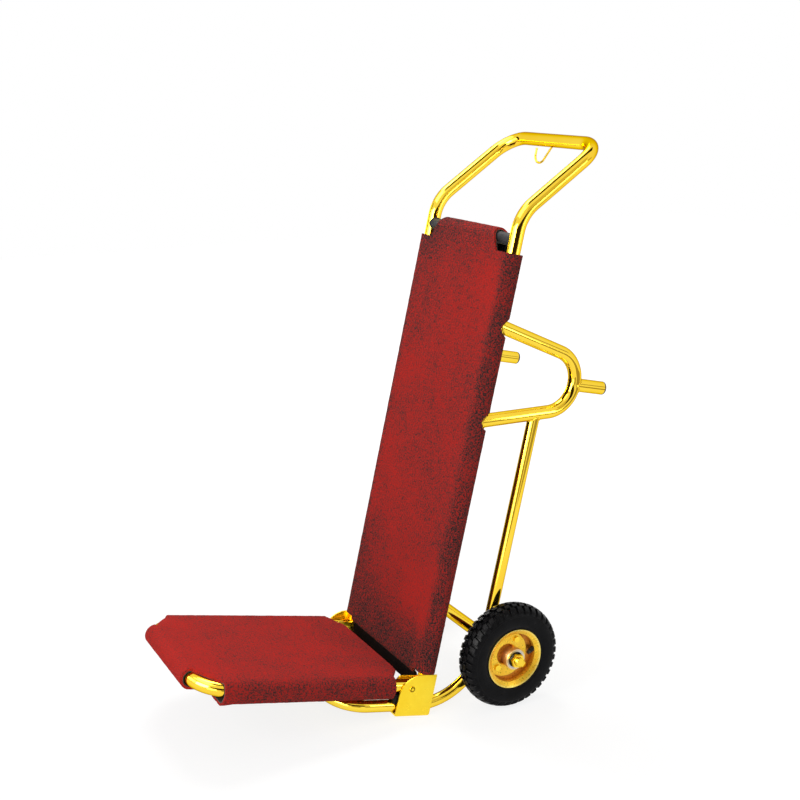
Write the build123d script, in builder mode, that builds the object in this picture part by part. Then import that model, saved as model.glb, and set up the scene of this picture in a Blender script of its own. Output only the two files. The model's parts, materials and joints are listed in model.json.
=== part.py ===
from build123d import *

import os
from math import cos, radians, sin, sqrt, tan

# A two-wheel luggage trolley with a folding platform.
# It stands as it is parked: leaning back, on its wheels and on the heels of its hinge brackets.
# Sizes are in millimetres and degrees. Places are given in the trolley's own frame, which leans with it:
# X across, Y from the uprights to the rear, Z up along the uprights from the flat foot of the brackets.

# Stance and tubes
LEAN = 12.76
TUBE_R = 12.5
TUBE_WALL = 1.5
BASE_R = 11.0
BASE_WALL = 1.5
UPRIGHT_X = 144.0

# Handle, bent back from the top of the uprights
SHOULDER_Z = 925.4
SHOULDER_BEND = 75.0
GRIP_Y = 139.0
GRIP_Z = 1073.9
GRIP_BEND = 50.0

# Cross bars of the back
TOP_BAR_Z = 879.5
LOWER_BAR_Z = 93.0

# Side loops, their rear pegs and the plugs of the pegs
LOOP_Z = 641.6
LOOP_SPREAD = 87.6
LOOP_SLOPE = 12.0
LOOP_REACH = 193.3
PEG_END_Y = 258.0
PLUG_HEAD = 4.0
PLUG_ROUND = 2.5
PLUG_STEM = 12.0
PLUG_FIT = 0.1

# Base tube: struts, rear bends and the run along the floor
STRUT_Y = 119.0
BASE_BEND = 128.6
RUNNER_FRONT_Y = -165.0
RUNNER_BEND = 57.0

# Hinge brackets, pivot pins and stop pads
PLATE_T = 3.0
PLATE_GAP = 0.4
BRACKET_FRONT_Y = -55.0
BRACKET_REAR_Y = 17.0
BRACKET_TOP_Z = 79.0
BRACKET_INNER_Z = 66.0
BRACKET_ROUND = 43.0
HEEL_ROUND = 4.0
PIVOT_Y = -30.5
PIVOT_Z = 52.0
PIN_R = 4.0
PIN_HEAD_R = 5.5
PIN_HEAD_T = 1.8
PIN_HEAD_ROUND = 1.2
PAD_FRONT_Y = -60.0
PAD_REAR_Y = -46.0
PAD_HALF_WIDTH = 9.0
PAD_OVERHANG = 7.0
SEAT_GAP = 0.3

# Platform tube, its bushes and its cross bars
DECK_FRONT_Y = -433.8
DECK_BEND = 62.0
DECK_TAIL = 12.0
BUSH_R = 6.0
RUNNING_FIT = 0.06
DECK_BAR_YS = (-110.0, -270.0)

# Carpets
BACK_CARPET_T = 5.0
BACK_CARPET_FIT = 0.2
BACK_SIDE_FOOT_Z = 80.0
BACK_SIDE_DROP = 23.1
BACK_FLAP = 45.0
HEM_HALF = 126.0
HEM_DROP = 4.0
HEM_SLANT = 9.0
HEM_INSET = 9.2
HEM_SKIRT = 23.0
HEM_BEND = 7.0
TONGUE_BASE_HALF = 114.0
TONGUE_TOP_HALF = 90.0
TONGUE_TAIL = 36.0
TONGUE_TAIL_HALF = 97.0
NOTCH_HALF = 16.0
NOTCH_FRONT_Y = 0.0
DECK_CARPET_T = 6.5
DECK_CARPET_FIT = 0.5
DECK_REAR_Y = -43.0
DECK_REAR_HALF = 112.0
DECK_SIDE_REAR_Y = -66.0
DECK_SIDE_FRONT_Y = -397.0
DECK_FRONT_HALF = 94.0
DECK_FLAP = 35.0

# Carpet screws
SCREW_R = 2.0
SCREW_HEAD_R = 4.5
SCREW_HEAD_T = 2.5
SCREW_BITE = 4.0
SCREW_FIT = 0.05
BACK_SCREW_ZS = (170.0, 470.0, 800.0)
DECK_SCREW_YS = (-120.0, -230.0, -340.0)

# Axle
AXLE_R = 8.0
AXLE_FIT = 0.05
AXLE_TIP = 6.5
AXLE_CHAMFER = 1.0
AXLE_TUBE_R = 12.5
AXLE_TUBE_WALL = 2.0
AXLE_TUBE_END = 3.0
COLLAR_FLANGE = 3.0
COLLAR_NECK = 5.5
COLLAR_SPIGOT = 15.0
SLEEVE_R = 10.5
WASHER_T = 2.0
NUT_FLATS = 24.0
NUT_T = 8.0

# Wheels
TYRE_R = 100.0
TYRE_HALF = 25.0
SHOULDER_DROP = 6.0
SHOULDER_INSET = 4.5
TYRE_WALL = 6.5
TREAD_T = 10.0
BEAD_SLOT_HALF = 8.0
INNER_TUBE_T = 1.5
INNER_TUBE_FIT = 0.3
RIM_T = 2.0
RIM_SEAT_R = 49.0
RIM_SEAT_HALF = 17.0
RIM_FLANGE_R = 57.0
RIM_HALF = 24.0
RIM_FIT = 0.2
WEB_X = 5.0
RAISED_X = 14.0
BOSS_ROOT = 1.0
BOSS_OFFSET = 17.0
BOSS_ANGLE = 145.0
BOSS_R = 44.0
POCKET_R = 19.0
BOLT_COUNT = 3
BOLT_ANGLE = 80.0
BOLT_R = 4.0
BOLT_CIRCLE_R = 36.0
BOLT_FIT = 0.1
BOLT_HEAD_FLATS = 11.0
BOLT_HEAD_T = 4.0
BOLT_NUT_T = 5.0
BOLT_TAIL = 2.0
HUB_R = 20.0
HUB_INNER_REACH = 24.0
HUB_OUTER_REACH = 26.0
HUB_BORE_R = 15.5
HUB_FIT = 0.05
BEARING_R = 17.5
BEARING_W = 11.0
BEARING_RECESS = 0.5
BALL_CIRCLE_R = 12.75
BALL_R = 2.9
BALL_COUNT = 8
BALL_FIT = 0.05
OUTER_RING_BORE_R = 14.7
INNER_RING_R = 10.9
SEAL_T = 0.9
SEAL_INSET = 0.2
SEAL_GAP = 0.15
VALVE_ANGLE = 8.0
VALVE_R = 4.5
VALVE_FOOT_X = 12.0
VALVE_TIP_X = 18.0
VALVE_TIP_RADIUS = 35.5
VALVE_CAP_R = 3.6
VALVE_CAP_LENGTH = 5.0
VALVE_FIT = 0.1

# Garment hook under the grip
HOOK_WIRE_R = 2.0
HOOK_TOP_X = -5.0
HOOK_TURN_X = -27.5
HOOK_TIP_X = -52.5
HOOK_LOW_Z = 1030.5
HOOK_TIP_Z = 1058.0
HOOK_BEND = 16.0

# Values that follow from the sizes above
sin_lean = sin(radians(LEAN))
cos_lean = cos(radians(LEAN))
base_z = PLATE_T + BASE_R
bracket_half = TUBE_R + PLATE_GAP + PLATE_T
back_wrap_in = TUBE_R + BACK_CARPET_FIT
back_wrap_out = back_wrap_in + BACK_CARPET_T
deck_wrap_in = TUBE_R + DECK_CARPET_FIT
deck_wrap_out = deck_wrap_in + DECK_CARPET_T
back_side_top_z = TOP_BAR_Z - BACK_SIDE_DROP
loop_tan = tan(radians(LOOP_SLOPE))
loop_apex_y = LOOP_SPREAD / loop_tan
loop_bend = (loop_apex_y - LOOP_REACH) / (1 / sin(radians(LOOP_SLOPE)) - 1)
axle_y = STRUT_Y + BASE_R + AXLE_TUBE_R
heel_rise = HEEL_ROUND * (sin_lean + cos_lean - 1)
axle_z = (TYRE_R + (axle_y - BRACKET_REAR_Y) * sin_lean + heel_rise) / cos_lean
lift = TYRE_R + axle_y * sin_lean - axle_z * cos_lean
plug_tip_y = PEG_END_Y + PLUG_HEAD

# The origin is on the floor, midway between the platform's front and the plugs at the rear
front_reach = DECK_FRONT_Y * cos_lean + PIVOT_Z * sin_lean - deck_wrap_out
plug_edge_z = LOOP_Z + TUBE_R - PLUG_ROUND
rear_reach = (plug_tip_y - PLUG_ROUND) * cos_lean + plug_edge_z * sin_lean + PLUG_ROUND
middle_y = (front_reach + rear_reach) / 2

STAND = Plane(origin=(0, -middle_y, lift), x_dir=(1, 0, 0), z_dir=(0, sin_lean, cos_lean))
ACROSS = STAND.x_dir
BACK = STAND.y_dir
UP = STAND.z_dir
SIDES = (UPRIGHT_X, -UPRIGHT_X)


def at(x, y, z):
    """A place of the trolley's own frame."""
    return STAND.from_local_coords((x, y, z))


def side_plane(x):
    """An upright plane across the trolley: drawn with Y to the right and Z up, seen from +X."""
    return Plane(origin=at(x, 0, 0), x_dir=BACK, z_dir=ACROSS)


def front_plane(y):
    """A plane along the trolley: drawn with X to the right and Z up, facing forward."""
    return Plane(origin=at(0, y, 0), x_dir=ACROSS, z_dir=-BACK)


def up_from(x, y, z):
    """A place whose axis runs up along the uprights."""
    return Plane(origin=at(x, y, z), x_dir=ACROSS, z_dir=UP).location


def back_from(x, y, z):
    """A place whose axis runs rearward."""
    return Plane(origin=at(x, y, z), x_dir=ACROSS, z_dir=BACK).location


def across_from(x, y, z):
    """A place whose axis runs across the trolley."""
    return Plane(origin=at(x, y, z), x_dir=BACK, z_dir=ACROSS).location


def bent_rod(points, bends, radius, bore=0.0):
    """A rod, or a tube where it has a bore, bent along points of the trolley's own frame."""
    with BuildPart() as rod:
        with BuildLine(STAND) as route:
            FilletPolyline(*points, radius=bends)
        with BuildSketch(Plane(origin=route.line @ 0, z_dir=route.line % 0)):
            Circle(radius)
            if bore > 0:
                Circle(bore, mode=Mode.SUBTRACT)
        sweep(path=route.line)
    return rod.part


def write(piece, name):
    """Labels one finished piece and writes its file."""
    piece.label = name
    export_step(piece, f"parts/{name}.step")


def write_pair(piece, name):
    """Writes a piece of the left side and its mirror image of the right side."""
    write(piece, f"{name}_left")
    write(mirror(piece, about=Plane.YZ), f"{name}_right")


os.makedirs("parts", exist_ok=True)

# Main frame tube: one tube bent into two uprights, two handle arms and the grip.
# Its feet stand just above the base tube, between the plates of the brackets.
base_centre_y = STRUT_Y - BASE_BEND
base_centre_z = base_z + BASE_BEND
foot_z = SEAT_GAP + base_centre_z - sqrt((BASE_BEND - BASE_R) ** 2 - (TUBE_R - base_centre_y) ** 2)
frame_points = (
    (UPRIGHT_X, 0, foot_z),
    (UPRIGHT_X, 0, SHOULDER_Z),
    (UPRIGHT_X, GRIP_Y, GRIP_Z),
    (-UPRIGHT_X, GRIP_Y, GRIP_Z),
    (-UPRIGHT_X, 0, SHOULDER_Z),
    (-UPRIGHT_X, 0, foot_z),
)
frame_bends = (SHOULDER_BEND, GRIP_BEND, GRIP_BEND, SHOULDER_BEND)
frame_tube = bent_rod(frame_points, frame_bends, TUBE_R, TUBE_R - TUBE_WALL)
back_screw_places = [back_from(x, TUBE_R, z) for x in SIDES for z in BACK_SCREW_ZS]
with BuildPart() as main_frame_tube:
    add(frame_tube)
    with Locations(*back_screw_places):
        Cylinder(SCREW_R + SCREW_FIT, TUBE_R, mode=Mode.SUBTRACT)
write(main_frame_tube.part, "main_frame_tube")

# Cross bars of the back: straight tubes, their ends shaped to the uprights they are welded to.
for bar_name, bar_z in (("top_cross_bar", TOP_BAR_Z), ("lower_cross_bar", LOWER_BAR_Z)):
    with BuildPart() as cross_bar:
        with BuildSketch(side_plane(-UPRIGHT_X)):
            with Locations((0, bar_z)):
                Circle(BASE_R)
                Circle(BASE_R - BASE_WALL, mode=Mode.SUBTRACT)
        extrude(amount=2 * UPRIGHT_X)
        with Locations(*[up_from(x, 0, bar_z) for x in SIDES]):
            Cylinder(TUBE_R, 4 * TUBE_R, mode=Mode.SUBTRACT)
    write(cross_bar.part, bar_name)

# Side loops: a tube with two sloping arms and one wide bend, welded to the back of each upright.
arm_start_y = TUBE_R / 4
arm_start_rise = LOOP_SPREAD - arm_start_y * loop_tan
loop_points = (
    (UPRIGHT_X, arm_start_y, LOOP_Z + arm_start_rise),
    (UPRIGHT_X, loop_apex_y, LOOP_Z),
    (UPRIGHT_X, arm_start_y, LOOP_Z - arm_start_rise),
)
loop_tube = bent_rod(loop_points, (loop_bend,), TUBE_R, TUBE_R - TUBE_WALL)
loop_rod = bent_rod(loop_points, (loop_bend,), TUBE_R)
with BuildPart() as side_loop:
    add(loop_tube)
    with Locations(up_from(UPRIGHT_X, 0, LOOP_Z)):
        Cylinder(TUBE_R, 2 * LOOP_SPREAD + 4 * TUBE_R, mode=Mode.SUBTRACT)
write_pair(side_loop.part, "side_loop")

# Rear pegs: short tubes welded to the bends of the loops.
with BuildPart() as rear_peg:
    with BuildSketch(Plane(back_from(UPRIGHT_X, LOOP_REACH, LOOP_Z))):
        Circle(TUBE_R)
        Circle(TUBE_R - TUBE_WALL, mode=Mode.SUBTRACT)
    extrude(amount=PEG_END_Y - LOOP_REACH)
    add(loop_rod, mode=Mode.SUBTRACT)
write_pair(rear_peg.part, "rear_peg")

# Peg plugs: moulded caps with a stem pushed into the open end of each peg.
with BuildPart() as peg_plug:
    with BuildSketch(Plane(back_from(UPRIGHT_X, PEG_END_Y, LOOP_Z))):
        Circle(TUBE_R)
    extrude(amount=PLUG_HEAD)
    fillet(peg_plug.faces().sort_by(Axis((0, 0, 0), BACK))[-1].edges(), PLUG_ROUND)
    with BuildSketch(Plane(back_from(UPRIGHT_X, PEG_END_Y, LOOP_Z))):
        Circle(TUBE_R - TUBE_WALL - PLUG_FIT)
    extrude(amount=-PLUG_STEM)
write_pair(peg_plug.part, "peg_plug")

# Base tube: one tube down both struts, round the rear bends and along the floor, closed by the front run.
strut_top_z = LOOP_Z - LOOP_SPREAD + STRUT_Y * loop_tan
base_points = (
    (UPRIGHT_X, STRUT_Y, strut_top_z),
    (UPRIGHT_X, STRUT_Y, base_z),
    (UPRIGHT_X, RUNNER_FRONT_Y, base_z),
    (-UPRIGHT_X, RUNNER_FRONT_Y, base_z),
    (-UPRIGHT_X, STRUT_Y, base_z),
    (-UPRIGHT_X, STRUT_Y, strut_top_z),
)
base_bends = (BASE_BEND, RUNNER_BEND, RUNNER_BEND, BASE_BEND)
bent_base = bent_rod(base_points, base_bends, BASE_R, BASE_R - BASE_WALL)
other_loop_rod = mirror(loop_rod, about=Plane.YZ)
with BuildPart() as base_tube:
    add(bent_base)
    add(loop_rod, mode=Mode.SUBTRACT)
    add(other_loop_rod, mode=Mode.SUBTRACT)
write(base_tube.part, "base_tube")

# Hinge brackets: sheet folded to a U round the foot of each upright, with the base tube on its floor.
# Its inner plate is lower than its outer one, and the rounded heel at the rear is what the trolley leans on.
with BuildPart() as hinge_bracket:
    with BuildSketch(side_plane(UPRIGHT_X)):
        with BuildLine():
            Line((BRACKET_FRONT_Y, 0), (BRACKET_FRONT_Y, BRACKET_TOP_Z - BRACKET_ROUND))
            RadiusArc(
                (BRACKET_FRONT_Y, BRACKET_TOP_Z - BRACKET_ROUND),
                (BRACKET_FRONT_Y + BRACKET_ROUND, BRACKET_TOP_Z),
                BRACKET_ROUND,
            )
            Polyline(
                (BRACKET_FRONT_Y + BRACKET_ROUND, BRACKET_TOP_Z),
                (BRACKET_REAR_Y, BRACKET_TOP_Z),
                (BRACKET_REAR_Y, HEEL_ROUND),
            )
            RadiusArc((BRACKET_REAR_Y, HEEL_ROUND), (BRACKET_REAR_Y - HEEL_ROUND, 0), HEEL_ROUND)
            Line((BRACKET_REAR_Y - HEEL_ROUND, 0), (BRACKET_FRONT_Y, 0))
        make_face()
    extrude(amount=bracket_half, both=True)
    with BuildSketch(front_plane(BRACKET_REAR_Y)):
        with Locations((UPRIGHT_X, PLATE_T)):
            Rectangle(
                2 * (TUBE_R + PLATE_GAP),
                BRACKET_TOP_Z,
                align=(Align.CENTER, Align.MIN),
            )
        with Locations((UPRIGHT_X - TUBE_R - PLATE_GAP, BRACKET_INNER_Z)):
            Rectangle(2 * PLATE_T, BRACKET_TOP_Z, align=(Align.MAX, Align.MIN))
    extrude(amount=BRACKET_REAR_Y - BRACKET_FRONT_Y, mode=Mode.SUBTRACT)
    with Locations(across_from(UPRIGHT_X, PIVOT_Y, PIVOT_Z)):
        Cylinder(PIN_R, 2 * bracket_half, mode=Mode.SUBTRACT)
write_pair(hinge_bracket.part, "hinge_bracket")

# Pivot pins: rivets through the brackets, a low domed head at each end.
with BuildPart() as pivot_pins:
    for x in SIDES:
        with Locations(across_from(x, PIVOT_Y, PIVOT_Z)):
            Cylinder(PIN_R, 2 * bracket_half)
        for end in (-1, 1):
            with Locations(across_from(x + end * (bracket_half + PIN_HEAD_T / 2), PIVOT_Y, PIVOT_Z)):
                Cylinder(PIN_HEAD_R, PIN_HEAD_T)
    outer_rings = []
    for x in SIDES:
        for end in (-1, 1):
            head_x = x + end * (bracket_half + PIN_HEAD_T)
            rings = pivot_pins.edges().filter_by(GeomType.CIRCLE)
            outer_rings += [ring for ring in rings if abs(ring.arc_center.X - head_x) < SEAT_GAP]
    fillet(outer_rings, PIN_HEAD_ROUND)
write(pivot_pins.part, "pivot_pins")

# Stop pads: rubber blocks saddled on the base tube, just below the platform tube.
pad_top_z = PIVOT_Z - TUBE_R - SEAT_GAP
pad_low_z = base_z + BASE_R - PAD_OVERHANG
with BuildPart() as stop_pad:
    with BuildSketch(front_plane(PAD_REAR_Y)):
        with Locations((UPRIGHT_X, pad_low_z)):
            Rectangle(2 * PAD_HALF_WIDTH, pad_top_z - pad_low_z, align=(Align.CENTER, Align.MIN))
        with Locations((UPRIGHT_X, base_z)):
            Circle(BASE_R, mode=Mode.SUBTRACT)
    extrude(amount=PAD_REAR_Y - PAD_FRONT_Y)
write_pair(stop_pad.part, "stop_pad")

# Platform tube: a U lying flat, its two ends drilled for the bushes of the hinge.
deck_tail_y = PIVOT_Y + DECK_TAIL
deck_points = (
    (UPRIGHT_X, deck_tail_y, PIVOT_Z),
    (UPRIGHT_X, DECK_FRONT_Y, PIVOT_Z),
    (-UPRIGHT_X, DECK_FRONT_Y, PIVOT_Z),
    (-UPRIGHT_X, deck_tail_y, PIVOT_Z),
)
bent_deck = bent_rod(deck_points, (DECK_BEND, DECK_BEND), TUBE_R, TUBE_R - TUBE_WALL)
deck_screw_places = [up_from(x, y, PIVOT_Z - TUBE_R) for x in SIDES for y in DECK_SCREW_YS]
with BuildPart() as platform_tube:
    add(bent_deck)
    with Locations(*[across_from(x, PIVOT_Y, PIVOT_Z) for x in SIDES]):
        Cylinder(BUSH_R, 2 * TUBE_R, mode=Mode.SUBTRACT)
    with Locations(*deck_screw_places):
        Cylinder(SCREW_R + SCREW_FIT, TUBE_R, mode=Mode.SUBTRACT)
write(platform_tube.part, "platform_tube")

# Pivot bushes: sleeves welded across the ends of the platform tube, turning on the pivot pins.
with BuildPart() as pivot_bushes:
    with Locations(*[across_from(x, PIVOT_Y, PIVOT_Z) for x in SIDES]):
        Cylinder(BUSH_R, 2 * TUBE_R)
        Cylinder(PIN_R + RUNNING_FIT, 2 * TUBE_R, mode=Mode.SUBTRACT)
write(pivot_bushes.part, "pivot_bushes")

# Platform cross bars: tubes under the carpet, shaped to the sides of the platform tube.
with BuildPart() as platform_cross_bars:
    with BuildSketch(side_plane(-UPRIGHT_X)):
        with Locations(*[(y, PIVOT_Z) for y in DECK_BAR_YS]):
            Circle(BASE_R)
            Circle(BASE_R - BASE_WALL, mode=Mode.SUBTRACT)
    extrude(amount=2 * UPRIGHT_X)
    with Locations(*[back_from(x, y, PIVOT_Z) for x in SIDES for y in DECK_BAR_YS]):
        Cylinder(TUBE_R, 4 * TUBE_R, mode=Mode.SUBTRACT)
write(platform_cross_bars.part, "platform_cross_bars")

# Platform carpet: a sheet over the platform tube, wrapped down and under along the sides and the front.
with BuildPart() as platform_carpet:
    with BuildSketch(STAND.offset(PIVOT_Z + deck_wrap_in)):
        Polygon(
            (-DECK_FRONT_HALF, DECK_FRONT_Y),
            (DECK_FRONT_HALF, DECK_FRONT_Y),
            (UPRIGHT_X, DECK_SIDE_FRONT_Y),
            (UPRIGHT_X, DECK_SIDE_REAR_Y),
            (DECK_REAR_HALF, DECK_REAR_Y),
            (-DECK_REAR_HALF, DECK_REAR_Y),
            (-UPRIGHT_X, DECK_SIDE_REAR_Y),
            (-UPRIGHT_X, DECK_SIDE_FRONT_Y),
            align=None,
        )
    extrude(amount=DECK_CARPET_T)
    for x in SIDES:
        inward = Align.MAX if x > 0 else Align.MIN
        with BuildSketch(front_plane(DECK_SIDE_REAR_Y)):
            with Locations((x, PIVOT_Z)):
                Circle(deck_wrap_out)
                Circle(deck_wrap_in, mode=Mode.SUBTRACT)
                Rectangle(
                    2 * deck_wrap_out,
                    2 * deck_wrap_out,
                    align=(inward, Align.CENTER),
                    mode=Mode.SUBTRACT,
                )
            with Locations((x, PIVOT_Z - deck_wrap_out)):
                Rectangle(DECK_FLAP, DECK_CARPET_T, align=(inward, Align.MIN))
        extrude(amount=DECK_SIDE_REAR_Y - DECK_SIDE_FRONT_Y)
    with BuildSketch(side_plane(-DECK_FRONT_HALF)):
        with Locations((DECK_FRONT_Y, PIVOT_Z)):
            Circle(deck_wrap_out)
            Circle(deck_wrap_in, mode=Mode.SUBTRACT)
            Rectangle(
                2 * deck_wrap_out,
                2 * deck_wrap_out,
                align=(Align.MIN, Align.CENTER),
                mode=Mode.SUBTRACT,
            )
        with Locations((DECK_FRONT_Y, PIVOT_Z - deck_wrap_out)):
            Rectangle(DECK_FLAP, DECK_CARPET_T, align=(Align.MIN, Align.MIN))
    extrude(amount=2 * DECK_FRONT_HALF)
    with Locations(*deck_screw_places):
        Cylinder(SCREW_R + SCREW_FIT, 2 * deck_wrap_out, mode=Mode.SUBTRACT)
write(platform_carpet.part, "platform_carpet")

# Platform carpet screws: self-tapping screws from below, through the wraps into the platform tube.
deck_head_z = PIVOT_Z - deck_wrap_out
with BuildPart() as platform_carpet_screws:
    with Locations(*[up_from(x, y, deck_head_z) for x in SIDES for y in DECK_SCREW_YS]):
        Cylinder(SCREW_HEAD_R, SCREW_HEAD_T, align=(Align.CENTER, Align.CENTER, Align.MAX))
        Cylinder(
            SCREW_R,
            DECK_CARPET_T + DECK_CARPET_FIT + SCREW_BITE,
            align=(Align.CENTER, Align.CENTER, Align.MIN),
        )
write(platform_carpet_screws.part, "platform_carpet_screws")

# Back carpet: the tongue over the top bar is shaped first, narrower at its top.
tongue_top_z = TOP_BAR_Z + back_wrap_out
with BuildPart() as tongue:
    with BuildSketch(side_plane(-TONGUE_BASE_HALF)):
        with Locations((0, TOP_BAR_Z)):
            Circle(back_wrap_out)
            Circle(back_wrap_in, mode=Mode.SUBTRACT)
            Rectangle(4 * back_wrap_out, back_wrap_out, align=(Align.CENTER, Align.MAX), mode=Mode.SUBTRACT)
        with Locations((-back_wrap_out, TOP_BAR_Z)):
            Rectangle(BACK_CARPET_T, TOP_BAR_Z - back_side_top_z, align=(Align.MIN, Align.MAX))
        with Locations((back_wrap_out, TOP_BAR_Z)):
            Rectangle(BACK_CARPET_T, TONGUE_TAIL, align=(Align.MAX, Align.MAX))
    extrude(amount=2 * TONGUE_BASE_HALF)
    with BuildSketch(front_plane(2 * back_wrap_out)):
        Polygon(
            (-TONGUE_TAIL_HALF, TOP_BAR_Z - 2 * TONGUE_TAIL),
            (TONGUE_TAIL_HALF, TOP_BAR_Z - 2 * TONGUE_TAIL),
            (TONGUE_TAIL_HALF, back_side_top_z),
            (TONGUE_BASE_HALF, back_side_top_z),
            (TONGUE_TOP_HALF, tongue_top_z),
            (-TONGUE_TOP_HALF, tongue_top_z),
            (-TONGUE_BASE_HALF, back_side_top_z),
            (-TONGUE_TAIL_HALF, back_side_top_z),
            align=None,
        )
    extrude(amount=4 * back_wrap_out, mode=Mode.INTERSECT)

# The sheet in front of the uprights is wrapped round them to flaps at the back.
# Its hem is set back under the lower bar, clear of the platform, and hangs down behind it as a skirt.
# Notches let the arms of the loops through.
hem_front_y = BACK_CARPET_T / 2 - back_wrap_out
hem_turn_z = BACK_SIDE_FOOT_Z - HEM_DROP
hem_points = (
    (hem_front_y, BACK_SIDE_FOOT_Z),
    (hem_front_y, hem_turn_z),
    (hem_front_y + HEM_INSET, hem_turn_z - HEM_SLANT),
    (hem_front_y + HEM_INSET, hem_turn_z - HEM_SLANT - HEM_SKIRT),
)
notch_reach = BACK_FLAP + BACK_CARPET_T
notch_rises = (LOOP_SPREAD - TUBE_R * loop_tan, TUBE_R * loop_tan - LOOP_SPREAD)
with BuildPart() as back_carpet:
    with BuildSketch(STAND.offset(BACK_SIDE_FOOT_Z)):
        with Locations((0, -back_wrap_out)):
            Rectangle(2 * UPRIGHT_X, BACK_CARPET_T, align=(Align.CENTER, Align.MIN))
    extrude(amount=back_side_top_z - BACK_SIDE_FOOT_Z)
    for x in SIDES:
        inward = Align.MAX if x > 0 else Align.MIN
        with BuildSketch(STAND.offset(BACK_SIDE_FOOT_Z)):
            with Locations((x, 0)):
                Circle(back_wrap_out)
                Circle(back_wrap_in, mode=Mode.SUBTRACT)
                Rectangle(
                    2 * back_wrap_out,
                    2 * back_wrap_out,
                    align=(inward, Align.CENTER),
                    mode=Mode.SUBTRACT,
                )
            with Locations((x, back_wrap_out)):
                Rectangle(BACK_FLAP, BACK_CARPET_T, align=(inward, Align.MAX))
        extrude(amount=back_side_top_z - BACK_SIDE_FOOT_Z)
    with BuildSketch(side_plane(-HEM_HALF)):
        with BuildLine():
            FilletPolyline(*hem_points, radius=HEM_BEND)
        trace(line_width=BACK_CARPET_T)
    extrude(amount=2 * HEM_HALF)
    add(tongue.part)
    with Locations(*[up_from(x, NOTCH_FRONT_Y, LOOP_Z + rise) for x in SIDES for rise in notch_rises]):
        Box(
            2 * notch_reach,
            back_wrap_out,
            2 * NOTCH_HALF,
            align=(Align.CENTER, Align.MIN, Align.CENTER),
            mode=Mode.SUBTRACT,
        )
    with Locations(*back_screw_places):
        Cylinder(SCREW_R + SCREW_FIT, 2 * back_wrap_out, mode=Mode.SUBTRACT)
write(back_carpet.part, "back_carpet")

# Back carpet screws: self-tapping screws through the flaps into the rear of the uprights.
with BuildPart() as back_carpet_screws:
    with Locations(*[back_from(x, back_wrap_out, z) for x in SIDES for z in BACK_SCREW_ZS]):
        Cylinder(SCREW_HEAD_R, SCREW_HEAD_T, align=(Align.CENTER, Align.CENTER, Align.MIN))
        Cylinder(
            SCREW_R,
            BACK_CARPET_T + BACK_CARPET_FIT + SCREW_BITE,
            align=(Align.CENTER, Align.CENTER, Align.MAX),
        )
write(back_carpet_screws.part, "back_carpet_screws")

# Garment hook: bent wire welded under the grip.
hook_points = (
    (HOOK_TOP_X, GRIP_Y, GRIP_Z - TUBE_R + HOOK_WIRE_R),
    (HOOK_TURN_X, GRIP_Y, HOOK_LOW_Z),
    (HOOK_TIP_X, GRIP_Y, HOOK_LOW_Z),
    (HOOK_TIP_X, GRIP_Y, HOOK_TIP_Z),
)
hook_wire = bent_rod(hook_points, (HOOK_BEND, HOOK_BEND), HOOK_WIRE_R)
with BuildPart() as garment_hook:
    add(hook_wire)
    with Locations(across_from(0, GRIP_Y, GRIP_Z)):
        Cylinder(TUBE_R, UPRIGHT_X, mode=Mode.SUBTRACT)
write(garment_hook.part, "garment_hook")

# Axle tube: welded across the backs of both struts, with its ends just past them.
axle_tube_half = UPRIGHT_X + BASE_R + AXLE_TUBE_END
with BuildPart() as axle_tube:
    with Locations(across_from(0, axle_y, axle_z)):
        Cylinder(AXLE_TUBE_R, 2 * axle_tube_half)
        Cylinder(AXLE_TUBE_R - AXLE_TUBE_WALL, 2 * axle_tube_half, mode=Mode.SUBTRACT)
write(axle_tube.part, "axle_tube")

# Places along the axle, from the axle tube outward
collar_flange_end = axle_tube_half + COLLAR_FLANGE
inner_bearing_x = collar_flange_end + COLLAR_NECK
wheel_x = inner_bearing_x - BEARING_RECESS + HUB_INNER_REACH
outer_bearing_x = wheel_x + HUB_OUTER_REACH - BEARING_RECESS - BEARING_W
washer_x = outer_bearing_x + BEARING_W
nut_x = washer_x + WASHER_T
axle_half = nut_x + NUT_T + AXLE_TIP
bearing_xs = (inner_bearing_x, outer_bearing_x)
axle_bore = AXLE_R + AXLE_FIT

# Axle rod: a plain steel rod through the axle tube and both hubs.
with BuildPart() as axle_rod:
    with Locations(across_from(0, axle_y, axle_z)):
        Cylinder(AXLE_R, 2 * axle_half)
    chamfer(axle_rod.edges().filter_by(GeomType.CIRCLE), AXLE_CHAMFER)
write(axle_rod.part, "axle_rod")


def sleeve(start_x, length, outer_r, inner_r):
    """A plain sleeve round the axle on the left side."""
    with BuildPart() as ring:
        with BuildSketch(side_plane(start_x)):
            with Locations((axle_y, axle_z)):
                Circle(outer_r)
                Circle(inner_r, mode=Mode.SUBTRACT)
        extrude(amount=length)
    return ring.part


def both_sides(piece):
    """A piece of the left side together with its mirror image, as separate solids of one node."""
    return Compound(children=[*piece.solids(), *mirror(piece, about=Plane.YZ).solids()])


# Axle collars: stepped bushes in the ends of the axle tube, up to the inner bearings.
axle_tube_bore = AXLE_TUBE_R - AXLE_TUBE_WALL
collar_spigot = sleeve(axle_tube_half - COLLAR_SPIGOT, COLLAR_SPIGOT, axle_tube_bore, axle_bore)
collar_flange = sleeve(axle_tube_half, COLLAR_FLANGE, AXLE_TUBE_R, axle_bore)
collar_neck = sleeve(collar_flange_end, COLLAR_NECK, SLEEVE_R, axle_bore)
with BuildPart() as axle_collar:
    add(collar_spigot)
    add(collar_flange)
    add(collar_neck)
write(both_sides(axle_collar.part), "axle_collars")

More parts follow.
